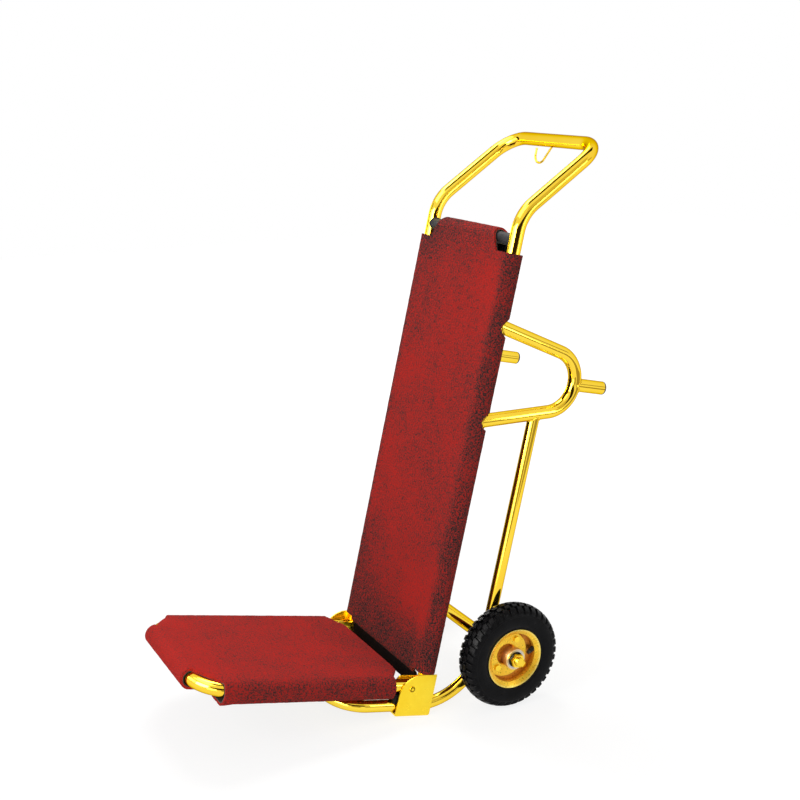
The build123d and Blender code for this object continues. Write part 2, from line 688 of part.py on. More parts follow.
# Bearing spacers and washers: sleeves between the inner rings, and under the nuts.
spacer_start = inner_bearing_x + BEARING_W
spacer_length = outer_bearing_x - spacer_start
write(both_sides(sleeve(spacer_start, spacer_length, SLEEVE_R, axle_bore)), "bearing_spacers")
write(both_sides(sleeve(washer_x, WASHER_T, SLEEVE_R, axle_bore)), "axle_washers")

# Axle nuts: one on each threaded end.
with BuildPart() as axle_nut:
    with BuildSketch(side_plane(nut_x)):
        with Locations((axle_y, axle_z)):
            RegularPolygon(NUT_FLATS / 2, 6, major_radius=False)
            Circle(axle_bore, mode=Mode.SUBTRACT)
    extrude(amount=NUT_T)
write(both_sides(axle_nut.part), "axle_nuts")

# Ball bearings: inner rings clamped on the axle, outer rings pressed into the hub, balls and seals between.
groove_r = BALL_R + BALL_FIT
with BuildPart() as inner_rings:
    for start in bearing_xs:
        with Locations(across_from(start + BEARING_W / 2, axle_y, axle_z)):
            Cylinder(INNER_RING_R, BEARING_W)
            Cylinder(axle_bore, BEARING_W, mode=Mode.SUBTRACT)
            Torus(BALL_CIRCLE_R, groove_r, mode=Mode.SUBTRACT)
write_pair(inner_rings.part, "bearing_inner_rings")

with BuildPart() as outer_rings_pair:
    for start in bearing_xs:
        with Locations(across_from(start + BEARING_W / 2, axle_y, axle_z)):
            Cylinder(BEARING_R, BEARING_W)
            Cylinder(OUTER_RING_BORE_R, BEARING_W, mode=Mode.SUBTRACT)
            Torus(BALL_CIRCLE_R, groove_r, mode=Mode.SUBTRACT)
write_pair(outer_rings_pair.part, "bearing_outer_rings")

with BuildPart() as bearing_balls:
    for start in bearing_xs:
        with Locations(across_from(start + BEARING_W / 2, axle_y, axle_z)):
            with PolarLocations(BALL_CIRCLE_R, BALL_COUNT):
                Sphere(BALL_R)
write_pair(bearing_balls.part, "bearing_balls")

with BuildPart() as bearing_seals:
    for start in bearing_xs:
        for face_x in (start + SEAL_INSET, start + BEARING_W - SEAL_INSET - SEAL_T):
            with BuildSketch(side_plane(face_x)):
                with Locations((axle_y, axle_z)):
                    Circle(OUTER_RING_BORE_R)
                    Circle(INNER_RING_R + SEAL_GAP, mode=Mode.SUBTRACT)
            extrude(amount=SEAL_T)
write_pair(bearing_seals.part, "bearing_seals")

# Wheel profiles are drawn with the axle direction to the right and the radius up.
# Angles of the wheel are counted from level and rearward, up over the top.
wheel_centre = at(wheel_x, axle_y, axle_z)
PROFILE = Plane(origin=wheel_centre, x_dir=ACROSS, z_dir=-BACK)
WHEEL = Plane(origin=wheel_centre, x_dir=(0, 1, 0), z_dir=ACROSS)
AXLE = Axis(wheel_centre, ACROSS)

# Hub sleeve: turned steel with a seat for a bearing at each end.
with BuildPart() as hub_sleeve:
    with BuildSketch(PROFILE):
        with Locations((-HUB_INNER_REACH, HUB_BORE_R)):
            Rectangle(HUB_INNER_REACH + HUB_OUTER_REACH, HUB_R - HUB_BORE_R, align=(Align.MIN, Align.MIN))
        with Locations((-HUB_INNER_REACH, HUB_BORE_R)):
            Rectangle(
                BEARING_W + BEARING_RECESS,
                BEARING_R - HUB_BORE_R,
                align=(Align.MIN, Align.MIN),
                mode=Mode.SUBTRACT,
            )
        with Locations((HUB_OUTER_REACH, HUB_BORE_R)):
            Rectangle(
                BEARING_W + BEARING_RECESS,
                BEARING_R - HUB_BORE_R,
                align=(Align.MAX, Align.MIN),
                mode=Mode.SUBTRACT,
            )
    revolve(axis=AXLE)
write_pair(hub_sleeve.part, "hub_sleeve")

# Rim halves: pressed sheet with a bead seat, a sloping flange and a flat web.
# A round boss, off the middle, is pressed outward from the web and carries two of the bolts.
# Its own middle stays low, as a pocket beside the hub.
# The halves meet in the middle plane and are bolted together through their webs.
web_face = WEB_X + RIM_T
raised_face = RAISED_X + RIM_T
seat_in = RIM_SEAT_R - RIM_T
raised_r = RIM_SEAT_R - BOSS_ROOT
hub_hole = HUB_R + HUB_FIT
flange_slope = (RIM_HALF - RIM_T - RIM_SEAT_HALF) / (RIM_FLANGE_R - RIM_SEAT_R)
flange_foot_x = RIM_HALF - flange_slope * (RIM_FLANGE_R - seat_in)


def boss_outline(inset):
    """The outline of the raised boss, less its pocket, drawn in by an amount."""
    with BuildSketch() as outline:
        with PolarLocations(BOSS_OFFSET, 1, start_angle=BOSS_ANGLE):
            Circle(BOSS_R - inset)
        Circle(raised_r - inset, mode=Mode.INTERSECT)
        with PolarLocations(BOSS_OFFSET, 1, start_angle=BOSS_ANGLE):
            Circle(POCKET_R + inset, mode=Mode.SUBTRACT)
        Circle(hub_hole + RIM_T + inset, mode=Mode.SUBTRACT)
    return outline.sketch


bolt_turn = 360 / BOLT_COUNT
bolt_faces = (
    (BOLT_ANGLE, raised_face),
    (BOLT_ANGLE + bolt_turn, raised_face),
    (BOLT_ANGLE - bolt_turn, web_face),
)
with BuildPart() as rim_half:
    with BuildSketch(PROFILE):
        Polygon(
            (RIM_HALF, RIM_FLANGE_R),
            (RIM_HALF - RIM_T, RIM_FLANGE_R),
            (RIM_SEAT_HALF, RIM_SEAT_R),
            (0, RIM_SEAT_R),
            (0, seat_in),
            (flange_foot_x, seat_in),
            align=None,
        )
        with Locations((WEB_X, hub_hole)):
            Rectangle(RIM_T, seat_in - hub_hole, align=(Align.MIN, Align.MIN))
    revolve(axis=AXLE)
    with BuildSketch(WHEEL.offset(WEB_X)):
        add(boss_outline(0))
    extrude(amount=raised_face - WEB_X)
    with BuildSketch(WHEEL.offset(WEB_X)):
        add(boss_outline(RIM_T))
    extrude(amount=RAISED_X - WEB_X, mode=Mode.SUBTRACT)
    with BuildSketch(WHEEL):
        with PolarLocations(BOLT_CIRCLE_R, BOLT_COUNT, start_angle=BOLT_ANGLE):
            Circle(BOLT_R + BOLT_FIT)
    extrude(amount=raised_face, mode=Mode.SUBTRACT)

# Valve stem: a rubber stem leaning out of the low part of the outer rim half, with a screw cap.
valve_angle = radians(VALVE_ANGLE)
valve_foot = WHEEL.from_local_coords(
    (RIM_SEAT_R * cos(valve_angle), RIM_SEAT_R * sin(valve_angle), VALVE_FOOT_X)
)
valve_tip = WHEEL.from_local_coords(
    (VALVE_TIP_RADIUS * cos(valve_angle), VALVE_TIP_RADIUS * sin(valve_angle), VALVE_TIP_X)
)
valve_line = Vector(valve_tip) - Vector(valve_foot)
VALVE = Plane(origin=valve_foot, z_dir=valve_line)
with BuildPart() as rim_outer:
    add(rim_half.part)
    with BuildSketch(VALVE.offset(-RIM_FLANGE_R + RIM_SEAT_R)):
        Circle(VALVE_R + VALVE_FIT)
    extrude(amount=RIM_FLANGE_R - RIM_SEAT_R + valve_line.length, mode=Mode.SUBTRACT)
write_pair(rim_outer.part, "rim_outer")
write_pair(mirror(rim_half.part, about=WHEEL), "rim_inner")

with BuildPart() as valve_stem:
    with BuildSketch(VALVE.offset(-VALVE_R)):
        Circle(VALVE_R)
    extrude(amount=VALVE_R + valve_line.length)
    with Locations(across_from(wheel_x, axle_y, axle_z)):
        Cylinder(RIM_SEAT_R, 4 * RIM_HALF, mode=Mode.INTERSECT)
write_pair(valve_stem.part, "valve_stem")

with BuildPart() as valve_cap:
    with BuildSketch(VALVE.offset(valve_line.length)):
        Circle(VALVE_CAP_R)
    extrude(amount=VALVE_CAP_LENGTH)
write_pair(valve_cap.part, "valve_cap")

# Rim bolts and nuts: they clamp the two rim halves together.
with BuildPart() as rim_bolts:
    for angle, face in bolt_faces:
        with BuildSketch(WHEEL.offset(face)):
            with PolarLocations(BOLT_CIRCLE_R, 1, start_angle=angle):
                RegularPolygon(BOLT_HEAD_FLATS / 2, 6, major_radius=False)
        extrude(amount=BOLT_HEAD_T)
        with BuildSketch(WHEEL.offset(face)):
            with PolarLocations(BOLT_CIRCLE_R, 1, start_angle=angle):
                Circle(BOLT_R)
        extrude(amount=-2 * face - BOLT_NUT_T - BOLT_TAIL)
write_pair(rim_bolts.part, "rim_bolts")

with BuildPart() as rim_nuts:
    for angle, face in bolt_faces:
        with BuildSketch(WHEEL.offset(-face)):
            with PolarLocations(BOLT_CIRCLE_R, 1, start_angle=angle):
                RegularPolygon(BOLT_HEAD_FLATS / 2, 6, major_radius=False)
                Circle(BOLT_R + BOLT_FIT, mode=Mode.SUBTRACT)
        extrude(amount=-BOLT_NUT_T)
write_pair(rim_nuts.part, "rim_nuts")

# Tyre: a rubber casing whose beads sit between the flanges of the rim.
bead_foot = RIM_SEAT_R + RIM_FIT
bead_x = RIM_HALF - RIM_T - RIM_FIT
bead_foot_x = RIM_SEAT_HALF - RIM_FIT
bead_top = RIM_FLANGE_R + SEAT_GAP
shoulder_x = TYRE_HALF - SHOULDER_INSET
shoulder_r = TYRE_R - SHOULDER_DROP
belly_r = (bead_top + shoulder_r) / 2
cavity_top = TYRE_R - TREAD_T
cavity_low = RIM_SEAT_R + RIM_T
cavity_r = (cavity_top + cavity_low) / 2
cavity_rise = (cavity_top - cavity_low) / 2
cavity_half = TYRE_HALF - TYRE_WALL
with BuildPart() as tyre:
    with BuildSketch(PROFILE):
        with BuildLine():
            Polyline(
                (-bead_x, bead_top),
                (-bead_foot_x, bead_foot),
                (bead_foot_x, bead_foot),
                (bead_x, bead_top),
            )
            ThreePointArc((bead_x, bead_top), (TYRE_HALF, belly_r), (shoulder_x, shoulder_r))
            ThreePointArc((shoulder_x, shoulder_r), (0, TYRE_R), (-shoulder_x, shoulder_r))
            ThreePointArc((-shoulder_x, shoulder_r), (-TYRE_HALF, belly_r), (-bead_x, bead_top))
        make_face()
        with Locations((0, cavity_r)):
            Ellipse(cavity_half, cavity_rise, mode=Mode.SUBTRACT)
        with Locations((0, bead_foot)):
            Rectangle(
                2 * BEAD_SLOT_HALF,
                cavity_r - bead_foot,
                align=(Align.CENTER, Align.MIN),
                mode=Mode.SUBTRACT,
            )
    revolve(axis=AXLE)
write_pair(tyre.part, "tyre")

# Inner tube: a thin rubber ring filling the hollow of the tyre.
tube_half = cavity_half - INNER_TUBE_FIT
tube_rise = cavity_rise - INNER_TUBE_FIT
with BuildPart() as inner_tube:
    with BuildSketch(PROFILE):
        with Locations((0, cavity_r)):
            Ellipse(tube_half, tube_rise)
            Ellipse(tube_half - INNER_TUBE_T, tube_rise - INNER_TUBE_T, mode=Mode.SUBTRACT)
    revolve(axis=AXLE)
write_pair(inner_tube.part, "inner_tube")
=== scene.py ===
import json
from math import ceil, copysign, cos, degrees, hypot, pi, radians, sin, sqrt, tan

import bmesh
import bpy
from mathutils import Matrix, Vector, noise


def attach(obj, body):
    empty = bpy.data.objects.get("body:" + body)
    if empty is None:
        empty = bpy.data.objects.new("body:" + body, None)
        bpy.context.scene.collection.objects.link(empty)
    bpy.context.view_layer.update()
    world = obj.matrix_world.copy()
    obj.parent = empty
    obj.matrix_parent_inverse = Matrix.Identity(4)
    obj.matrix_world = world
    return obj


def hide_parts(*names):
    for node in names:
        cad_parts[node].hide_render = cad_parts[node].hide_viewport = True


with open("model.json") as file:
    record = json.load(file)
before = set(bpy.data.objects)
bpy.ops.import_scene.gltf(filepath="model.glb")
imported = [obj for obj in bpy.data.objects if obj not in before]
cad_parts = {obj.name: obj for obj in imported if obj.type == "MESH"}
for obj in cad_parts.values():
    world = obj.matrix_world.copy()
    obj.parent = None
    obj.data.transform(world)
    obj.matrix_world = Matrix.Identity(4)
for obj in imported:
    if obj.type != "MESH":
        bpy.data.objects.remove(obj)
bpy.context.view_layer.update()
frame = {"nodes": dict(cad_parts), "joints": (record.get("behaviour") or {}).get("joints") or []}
nodes = frame["nodes"]
joints = {joint["name"]: joint for joint in frame["joints"]}

# Main frame tube. One 25 mm steel tube, bent to two uprights, two handle arms and the grip,
# then polished and plated gold. It leans back with the whole trolley, so places are given in the
# trolley's own leaning frame, in millimetres, which the pivot of the platform ties to the shared frame.
LEAN = radians(12.76)
BACK = Vector((0, cos(LEAN), -sin(LEAN)))
UP = Vector((0, sin(LEAN), cos(LEAN)))
PIVOT = Vector(joints["platform_fold"]["pos_m"])
PIVOT_Y, PIVOT_Z = -30.5, 52.0
HALF = 144.0
TUBE = 12.5
TUBE_WALL = 1.5
FOOT_Z, SHOULDER_Z, SHOULDER_BEND = 27.4, 925.4, 75.0
GRIP_Y, GRIP_Z, GRIP_BEND = 139.0, 1073.9, 50.0


def stand(x, y, z):
    """A place of the leaning frame, in metres of the shared frame."""
    return PIVOT + Vector((x / 1000, 0, 0)) + BACK * ((y - PIVOT_Y) / 1000) + UP * ((z - PIVOT_Z) / 1000)


def both_sides(*corners):
    """Places down one side of the trolley, then back along the other, from their y and z."""
    return [stand(HALF, *corner) for corner in corners] + [stand(-HALF, *corner) for corner in reversed(corners)]


def feed(tree, socket, value):
    """Gives an input its value, or the output that feeds it."""
    if isinstance(value, bpy.types.NodeSocket):
        tree.links.new(value, socket)
    else:
        socket.default_value = value


def add_node(tree, kind, **inputs):
    """One node of a tree, with its inputs by name."""
    node = tree.nodes.new(kind)
    for label, value in inputs.items():
        feed(tree, node.inputs[label.replace("_", " ")], value)
    return node


def output(tree, kind, **inputs):
    """The main output of a new node."""
    return add_node(tree, kind, **inputs).outputs[0]


def grain(tree, place, scale, detail=2.0, rough=0.5):
    """A noise pattern of a given fineness."""
    return output(tree, "ShaderNodeTexNoise", Vector=place, Scale=scale, Detail=detail, Roughness=rough)


def shades(tree, value, *stops):
    """Colours along a pattern, as (place, colour) stops."""
    ramp = add_node(tree, "ShaderNodeValToRGB", Fac=value)
    band = ramp.color_ramp
    for index, (place, colour) in enumerate(stops):
        stop = band.elements[index] if index < 2 else band.elements.new(place)
        stop.position = place
        stop.color = (*colour, 1)
    return ramp.outputs["Color"]


def levels(tree, value, low, high):
    """A pattern spread over the values from low to high."""
    return output(tree, "ShaderNodeMapRange", Value=value, From_Min=0.3, From_Max=0.7, To_Min=low, To_Max=high)


def new_finish(name, rough=None, bump=None, **values):
    """A new material: its tree, its shader and the object coordinates that its patterns read.
    rough is a noise and the range of its roughness, bump a noise and the strength and depth of its bumps."""
    finish = bpy.data.materials.new(name)
    finish.use_nodes = True
    tree = finish.node_tree
    shader = tree.nodes["Principled BSDF"]
    place = tree.nodes.new("ShaderNodeTexCoord").outputs["Object"]
    for label, value in values.items():
        shader.inputs[label.replace("_", " ")].default_value = value
    if rough:
        pattern, low, high = rough
        tree.links.new(levels(tree, grain(tree, place, *pattern), low, high), shader.inputs["Roughness"])
    if bump:
        pattern, strength, depth = bump
        height = grain(tree, place, *pattern)
        bumps = output(tree, "ShaderNodeBump", Height=height, Strength=strength, Distance=depth)
        tree.links.new(bumps, shader.inputs["Normal"])
    return finish, tree, shader, place


def noise_finish(name, pattern, *stops, **rest):
    """A new material with its colours along one noise."""
    finish, tree, shader, place = new_finish(name, **rest)
    tree.links.new(shades(tree, grain(tree, place, *pattern), *stops), shader.inputs["Base Color"])
    return finish


gold = noise_finish(
    "polished gold plating",
    (9.0, 3.0),
    (0.35, (0.94, 0.625, 0.046)),
    (0.65, (0.97, 0.69, 0.064)),
    rough=((55.0, 4.0), 0.04, 0.08),
    bump=((120.0, 2.0), 0.006, 0.0006),
    Metallic=1.0,
    Specular_Tint=(0.42, 0.27, 0.12, 1.0),
)


def show(name, mesh):
    """An object at the origin that shows a mesh."""
    made = bpy.data.objects.new(name, mesh)
    bpy.context.scene.collection.objects.link(made)
    return made


def new_piece(name, points, edges=(), faces=()):
    """An object at the origin with its place in its mesh."""
    mesh = bpy.data.meshes.new(name)
    mesh.from_pydata(points, edges, faces)
    return show(name, mesh)


def shape_tree(name, **inputs):
    """A new geometry tree and the outputs of its inputs."""
    made = bpy.data.node_groups.new(name, "GeometryNodeTree")
    made.interface.new_socket("Geometry", in_out="INPUT", socket_type="NodeSocketGeometry")
    for label, kind in inputs.items():
        made.interface.new_socket(label, in_out="INPUT", socket_type="NodeSocket" + kind)
    made.interface.new_socket("Geometry", in_out="OUTPUT", socket_type="NodeSocketGeometry")
    return made, made.nodes.new("NodeGroupInput").outputs


def end_tree(made, geometry, finish):
    """The end of a tree: whole geometry, with its finish set."""
    whole = output(made, "GeometryNodeRealizeInstances", Geometry=geometry)
    finished = output(made, "GeometryNodeSetMaterial", Geometry=whole, Material=finish)
    made.links.new(finished, made.nodes.new("NodeGroupOutput").inputs[0])


def bake(made, tree_of_shape, **values):
    """Runs a tree on a piece, and leaves the result as its plain mesh."""
    modifier = made.modifiers.new("shape", "NODES")
    modifier.node_group = tree_of_shape
    for item in tree_of_shape.interface.items_tree:
        if item.in_out == "INPUT" and item.name in values:
            modifier[item.identifier] = values[item.name]
    graph = bpy.context.evaluated_depsgraph_get()
    mesh = bpy.data.meshes.new_from_object(made.evaluated_get(graph))
    made.modifiers.remove(modifier)
    made.data = mesh
    return mesh


def soften(mesh, angle=40.0):
    """Smooth shading, with the sharp edges kept."""
    mesh.shade_smooth()
    mesh.set_sharp_from_angle(angle=radians(angle))


def bent_line(corners, bends):
    """The centre line of a bent tube: straight runs and round bends, with a ring close to each bend."""
    points = [Vector(corner) for corner in corners]
    line = [points[0]]
    for before, corner, after, bend in zip(points, points[1:], points[2:], bends):
        inward = (before - corner).normalized()
        outward = (after - corner).normalized()
        turn = pi - inward.angle(outward)
        reach = bend / 1000 * tan(turn / 2)
        start = corner + inward * reach
        end = corner + outward * reach
        middle = corner + (inward + outward).normalized() * (bend / 1000 / cos(turn / 2))
        axis = (start - middle).cross(end - middle).normalized()
        steps = max(6, round(degrees(turn) / 2.5))
        line.append(start + inward * 0.003)
        for step in range(steps + 1):
            line.append(middle + Matrix.Rotation(turn * step / steps, 3, axis) @ (start - middle))
        line.append(end + outward * 0.003)
    line.append(points[-1])
    return line


tube_tree, given = shape_tree("bent tube", Radius="Float", Sides="Int", Finish="Material")
route = output(tube_tree, "GeometryNodeMeshToCurve", Mesh=given["Geometry"])
circle = output(tube_tree, "GeometryNodeCurvePrimitiveCircle", Resolution=given["Sides"], Radius=given["Radius"])
tube = output(tube_tree, "GeometryNodeCurveToMesh", Curve=route, Profile_Curve=circle, Fill_Caps=True)
end_tree(tube_tree, tube, given["Finish"])
BORE_DEPTH = 0.025


def bent_tube(name, line, radius, finish, wall=0.0, sides=44):
    """A tube along a line, its ends open where it has a wall."""
    made = new_piece(name, line, edges=[(k, k + 1) for k in range(len(line) - 1)])
    mesh = bake(made, tube_tree, Radius=radius / 1000, Sides=sides, Finish=finish)
    shell = bmesh.new()
    shell.from_mesh(mesh)
    bmesh.ops.recalc_face_normals(shell, faces=shell.faces)
    caps = [face for face in shell.faces if len(face.verts) > 4]
    if wall > 0:
        for cap in caps:
            bmesh.ops.inset_region(shell, faces=[cap], thickness=wall / 1000, use_even_offset=True)
            depth = cap.normal * -BORE_DEPTH
            inner = bmesh.ops.extrude_discrete_faces(shell, faces=[cap])["faces"][0]
            bmesh.ops.translate(shell, verts=inner.verts, vec=depth)
    shell.to_mesh(mesh)
    shell.free()
    soften(mesh)
    return made


def fix(made, body, slot, *replaced):
    """A finished piece rides on its body and stands for its solids."""
    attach(made, body)
    if replaced:
        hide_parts(*replaced)
    return made


frame_line = bent_line(
    both_sides((0, FOOT_Z), (0, SHOULDER_Z), (GRIP_Y, GRIP_Z)), (SHOULDER_BEND, GRIP_BEND, GRIP_BEND, SHOULDER_BEND)
)
fix(bent_tube("frame_tube", frame_line, TUBE, gold, TUBE_WALL), "frame", "gold_tube", "main_frame_tube")

# Cross bars of the back. Two straight 22 mm tubes, shaped to the uprights at their ends.
# They are welded all round and painted black with their beads, because the carpet hides all but their ends.
BAR = 11.0
TOP_BAR_Z = 879.5
LOWER_BAR_Z = 93.0
BAR_GAP = 4.0
black_paint = noise_finish(
    "black paint",
    (70.0, 4.0),
    (0.3, (0.011, 0.011, 0.012)),
    (0.7, (0.026, 0.026, 0.028)),
    rough=((160.0, 3.0), 0.5, 0.68),
    bump=((700.0, 2.0), 0.08, 0.0004),
    Specular_IOR_Level=0.22,
)


def random_between(tree, low, high, seed):
    """A value between two others, drawn for each point."""
    node = add_node(tree, "FunctionNodeRandomValue", Seed=seed)
    node.inputs[2].default_value = low
    node.inputs[3].default_value = high
    return node.outputs[1]


def end_spread(tree, finish, points, shape, **how):
    """The end of a tree that sets a shape on points."""
    end_tree(tree, output(tree, "GeometryNodeInstanceOnPoints", Points=points, Instance=shape, **how), finish)


weld_tree, given = shape_tree("weld bead", Bead="Float", Pitch="Float", Finish="Material")
route = output(weld_tree, "GeometryNodeMeshToCurve", Mesh=given["Geometry"])
steps = add_node(weld_tree, "GeometryNodeResampleCurve", Curve=route)
steps.mode = "LENGTH"
weld_tree.links.new(given["Pitch"], steps.inputs["Length"])
drop = output(weld_tree, "GeometryNodeMeshIcoSphere", Radius=given["Bead"], Subdivisions=2)
drop_size = random_between(weld_tree, 0.85, 1.12, seed=7)
end_spread(weld_tree, given["Finish"], steps.outputs["Curve"], drop, Scale=drop_size)


def off_line(point, line):
    """How far a point is from a line of points."""
    nearest = 1.0
    for start, end in zip(line, line[1:]):
        run = end - start
        share = max(0.0, min(1.0, (point - start).dot(run) / run.length_squared))
        nearest = min(nearest, (point - start - run * share).length)
    return nearest


BEAD, WELD_STEPS, WELD_NEAR, WELD_REACH = 1.7, 40, 0.08, 0.05


def weld_line(foot, direction, radius, line, line_radius):
    """The closed line where a straight tube end meets the wall of another tube."""
    near = [point for point in zip(line, line[1:]) if off_line(foot, point) < WELD_NEAR]
    run = [near[0][0]] + [pair[1] for pair in near]
    direction = direction.normalized()
    side = direction.orthogonal().normalized()
    rise = direction.cross(side)
    points = []
    for step in range(WELD_STEPS):
        turn = 2 * pi * step / WELD_STEPS
        start = foot + (side * cos(turn) + rise * sin(turn)) * radius / 1000
        low, high = 0.0, WELD_REACH
        for _ in range(16):
            middle = (low + high) / 2
            if off_line(start + direction * middle, run) < line_radius / 1000:
                low = middle
            else:
                high = middle
        points.append(start + direction * low)
    return points


def welds(name, body, lines, finish=gold, slot="gold_tube"):
    """Weld beads along closed lines, as one piece."""
    points, edges = [], []
    for line in lines:
        first = len(points)
        points += line
        edges += [(first + k, first + (k + 1) % len(line)) for k in range(len(line))]
    made = new_piece(name, points, edges=edges)
    soften(bake(made, weld_tree, Bead=BEAD / 1000, Pitch=BEAD / 1000, Finish=finish), 180)
    return fix(made, body, slot)


def cross_bar(name, y, z, finish, sides):
    """A straight bar between two tubes, and the lines of its welds."""
    made = bent_tube(name, [stand(-HALF + BAR_GAP, y, z), stand(HALF - BAR_GAP, y, z)], BAR, finish)
    return made, [weld_line(stand(x, y, z), Vector((-x, 0, 0)), BAR, sides, TUBE) for x in (HALF, -HALF)]


for bar_name, node, z in (("top_bar", "top_cross_bar", TOP_BAR_Z), ("lower_bar", "lower_cross_bar", LOWER_BAR_Z)):
    bar, ends = cross_bar(bar_name, 0, z, black_paint, frame_line)
    fix(bar, "frame", "black_paint", node)
    welds(bar_name + "_welds", "frame", ends, finish=black_paint, slot="black_paint")

# Side loops. A 25 mm tube with two sloping arms and one wide bend, welded to the back of each upright.
# A short peg of the same tube is welded to the bend, and a moulded black plug closes its end.
LOOP_Z, LOOP_SPREAD, LOOP_SLOPE, LOOP_REACH = 641.6, 87.6, radians(12.0), 193.3
END_GAP = 3.0
PEG_END = 258.0
loop_apex = LOOP_SPREAD / tan(LOOP_SLOPE)
loop_bend = (loop_apex - LOOP_REACH) / (1 / sin(LOOP_SLOPE) - 1)

black_plastic = noise_finish(
    "moulded black plastic",
    (160.0, 3.0),
    (0.3, (0.010, 0.010, 0.011)),
    (0.7, (0.022, 0.022, 0.023)),
    rough=((300.0, 2.0), 0.32, 0.5),
    bump=((1500.0, 1.0), 0.12, 0.0003),
)
SAME_PLACE, SAME_PLANE, SHARP = 0.000004, radians(1.0), radians(38)


def eased_copy(name, node, width, finish, body, slot):
    """A solid's own shape with its edges broken, as a piece that stands for it."""
    mesh = nodes[node].data.copy()
    mesh.name = name
    mesh.materials.clear()
    mesh.materials.append(finish)
    for layer in ("custom_normal", "sharp_face", "sharp_edge"):
        if layer in mesh.attributes:
            mesh.attributes.remove(mesh.attributes[layer])
    shell = bmesh.new()
    shell.from_mesh(mesh)
    bmesh.ops.remove_doubles(shell, verts=shell.verts, dist=SAME_PLACE)
    bmesh.ops.dissolve_limit(
        shell, angle_limit=SAME_PLANE, verts=shell.verts, edges=shell.edges, use_dissolve_boundaries=False
    )
    edges = [e for e in shell.edges if e.is_manifold and e.calc_face_angle() > SHARP]
    bmesh.ops.bevel(
        shell, geom=edges, offset=width / 1000, segments=2, profile=0.6, affect="EDGES", clamp_overlap=True
    )
    for face in shell.faces:
        face.material_index = 0
    shell.to_mesh(mesh)
    shell.free()
    soften(mesh)
    return fix(show(name, mesh), body, slot, node)


loop_lines = {}
for side, name in ((1, "left"), (-1, "right")):
    x = side * HALF
    start_rise = LOOP_SPREAD - END_GAP * tan(LOOP_SLOPE)
    corners = ((END_GAP, LOOP_Z + start_rise), (loop_apex, LOOP_Z), (END_GAP, LOOP_Z - start_rise))
    loop_lines[side] = bent_line([stand(x, *corner) for corner in corners], (loop_bend,))
    fix(bent_tube("loop_" + name, loop_lines[side], TUBE, gold), "frame", "gold_tube", "side_loop_" + name)
    peg_line = [stand(x, LOOP_REACH + END_GAP, LOOP_Z), stand(x, PEG_END, LOOP_Z)]
    fix(bent_tube("peg_" + name, peg_line, TUBE, gold, TUBE_WALL), "frame", "gold_tube", "rear_peg_" + name)
    eased_copy("plug_" + name, "peg_plug_" + name, 0.25, black_plastic, "frame", "black_plastic")
    arm = BACK * cos(LOOP_SLOPE)
    drop = UP * sin(LOOP_SLOPE)
    welds(
        "loop_welds_" + name,
        "frame",
        [
            weld_line(stand(x, 0, LOOP_Z + LOOP_SPREAD), arm - drop, TUBE, frame_line, TUBE),
            weld_line(stand(x, 0, LOOP_Z - LOOP_SPREAD), arm + drop, TUBE, frame_line, TUBE),
            weld_line(stand(x, LOOP_REACH, LOOP_Z), BACK, TUBE, loop_lines[side], TUBE),
        ],
    )

# Base tube. One 22 mm tube down both struts, round the rear bends and forward along the floor,
# closed by its front run. Its struts are welded under the lower arms of the loops.
STRUT_Y = 119.0
BASE_Z = 14.0
RUN_FRONT = -165.0
REAR_BEND, RUN_BEND = 128.6, 57.0
strut_top = LOOP_Z - LOOP_SPREAD + STRUT_Y * tan(LOOP_SLOPE)
base_line = bent_line(
    both_sides((STRUT_Y, strut_top - END_GAP), (STRUT_Y, BASE_Z), (RUN_FRONT, BASE_Z)),
    (REAR_BEND, RUN_BEND, RUN_BEND, REAR_BEND),
)
fix(bent_tube("base_tube_bent", base_line, BAR, gold), "frame", "gold_tube", "base_tube")
strut_ends = [
    weld_line(stand(side * HALF, STRUT_Y, strut_top), UP * -1, BAR, loop_lines[side], TUBE) for side in (1, -1)
]
welds("strut_welds", "frame", strut_ends)

# Hinge brackets. 3 mm sheet folded to a U round the foot of each upright, plated a little duller than the tubes.
# A rivet with low domed heads is the pivot of the platform, and a rubber block under it is its stop.


def maths(tree, operation, *values, kind="ShaderNodeMath", out="Value"):
    """What one step of arithmetic makes of its values, each a number or the output of another node."""
    node = tree.nodes.new(kind)
    node.operation = operation
    for socket, value in zip(node.inputs, values):
        feed(tree, socket, value)
    return node.outputs[out]


def blend(tree, share, one, two, kind="MIX"):
    """One colour mixed with another by a share."""
    node = add_node(tree, "ShaderNodeMix", Factor=share)
    node.data_type = "RGBA"
    node.blend_type = kind
    tree.links.new(one, node.inputs[6])
    tree.links.new(two, node.inputs[7])
    return node.outputs[2]


bracket_gold, tree, shader, place = new_finish(
    "satin gold plating", rough=((140.0, 4.0), 0.26, 0.4), bump=((900.0, 2.0), 0.06, 0.0004), Metallic=1.0
)
plated = shades(tree, grain(tree, place, 22.0, 4.0), (0.3, (0.93, 0.63, 0.025)), (0.7, (0.98, 0.72, 0.042)))
sideways = maths(tree, "MULTIPLY", place, (0, 100, 100), kind="ShaderNodeVectorMath", out="Vector")
rivet_spot = (0, 100 * PIVOT.y, 100 * PIVOT.z)
off_rivet = maths(tree, "DISTANCE", sideways, rivet_spot, kind="ShaderNodeVectorMath")
# A dark ring on each rivet head, 3 to 5 mm from the pivot's axis, is painted shade on its domed edge.
unshaded, shade_tint = (1, 1, 1), (0.24, 0.18, 0.10)
rivet_shade_ring = shades(tree, off_rivet, (0.20, unshaded), (0.33, shade_tint), (0.46, shade_tint), (0.56, unshaded))
tree.links.new(blend(tree, 1.0, plated, rivet_shade_ring, "MULTIPLY"), shader.inputs["Base Color"])

black_rubber = noise_finish(
    "black rubber",
    (90.0, 4.0),
    (0.3, (0.006, 0.006, 0.006)),
    (0.75, (0.018, 0.017, 0.017)),
    rough=((220.0, 2.0), 0.55, 0.75),
    bump=((1300.0, 2.0), 0.2, 0.0004),
    Specular_IOR_Level=0.2,
)

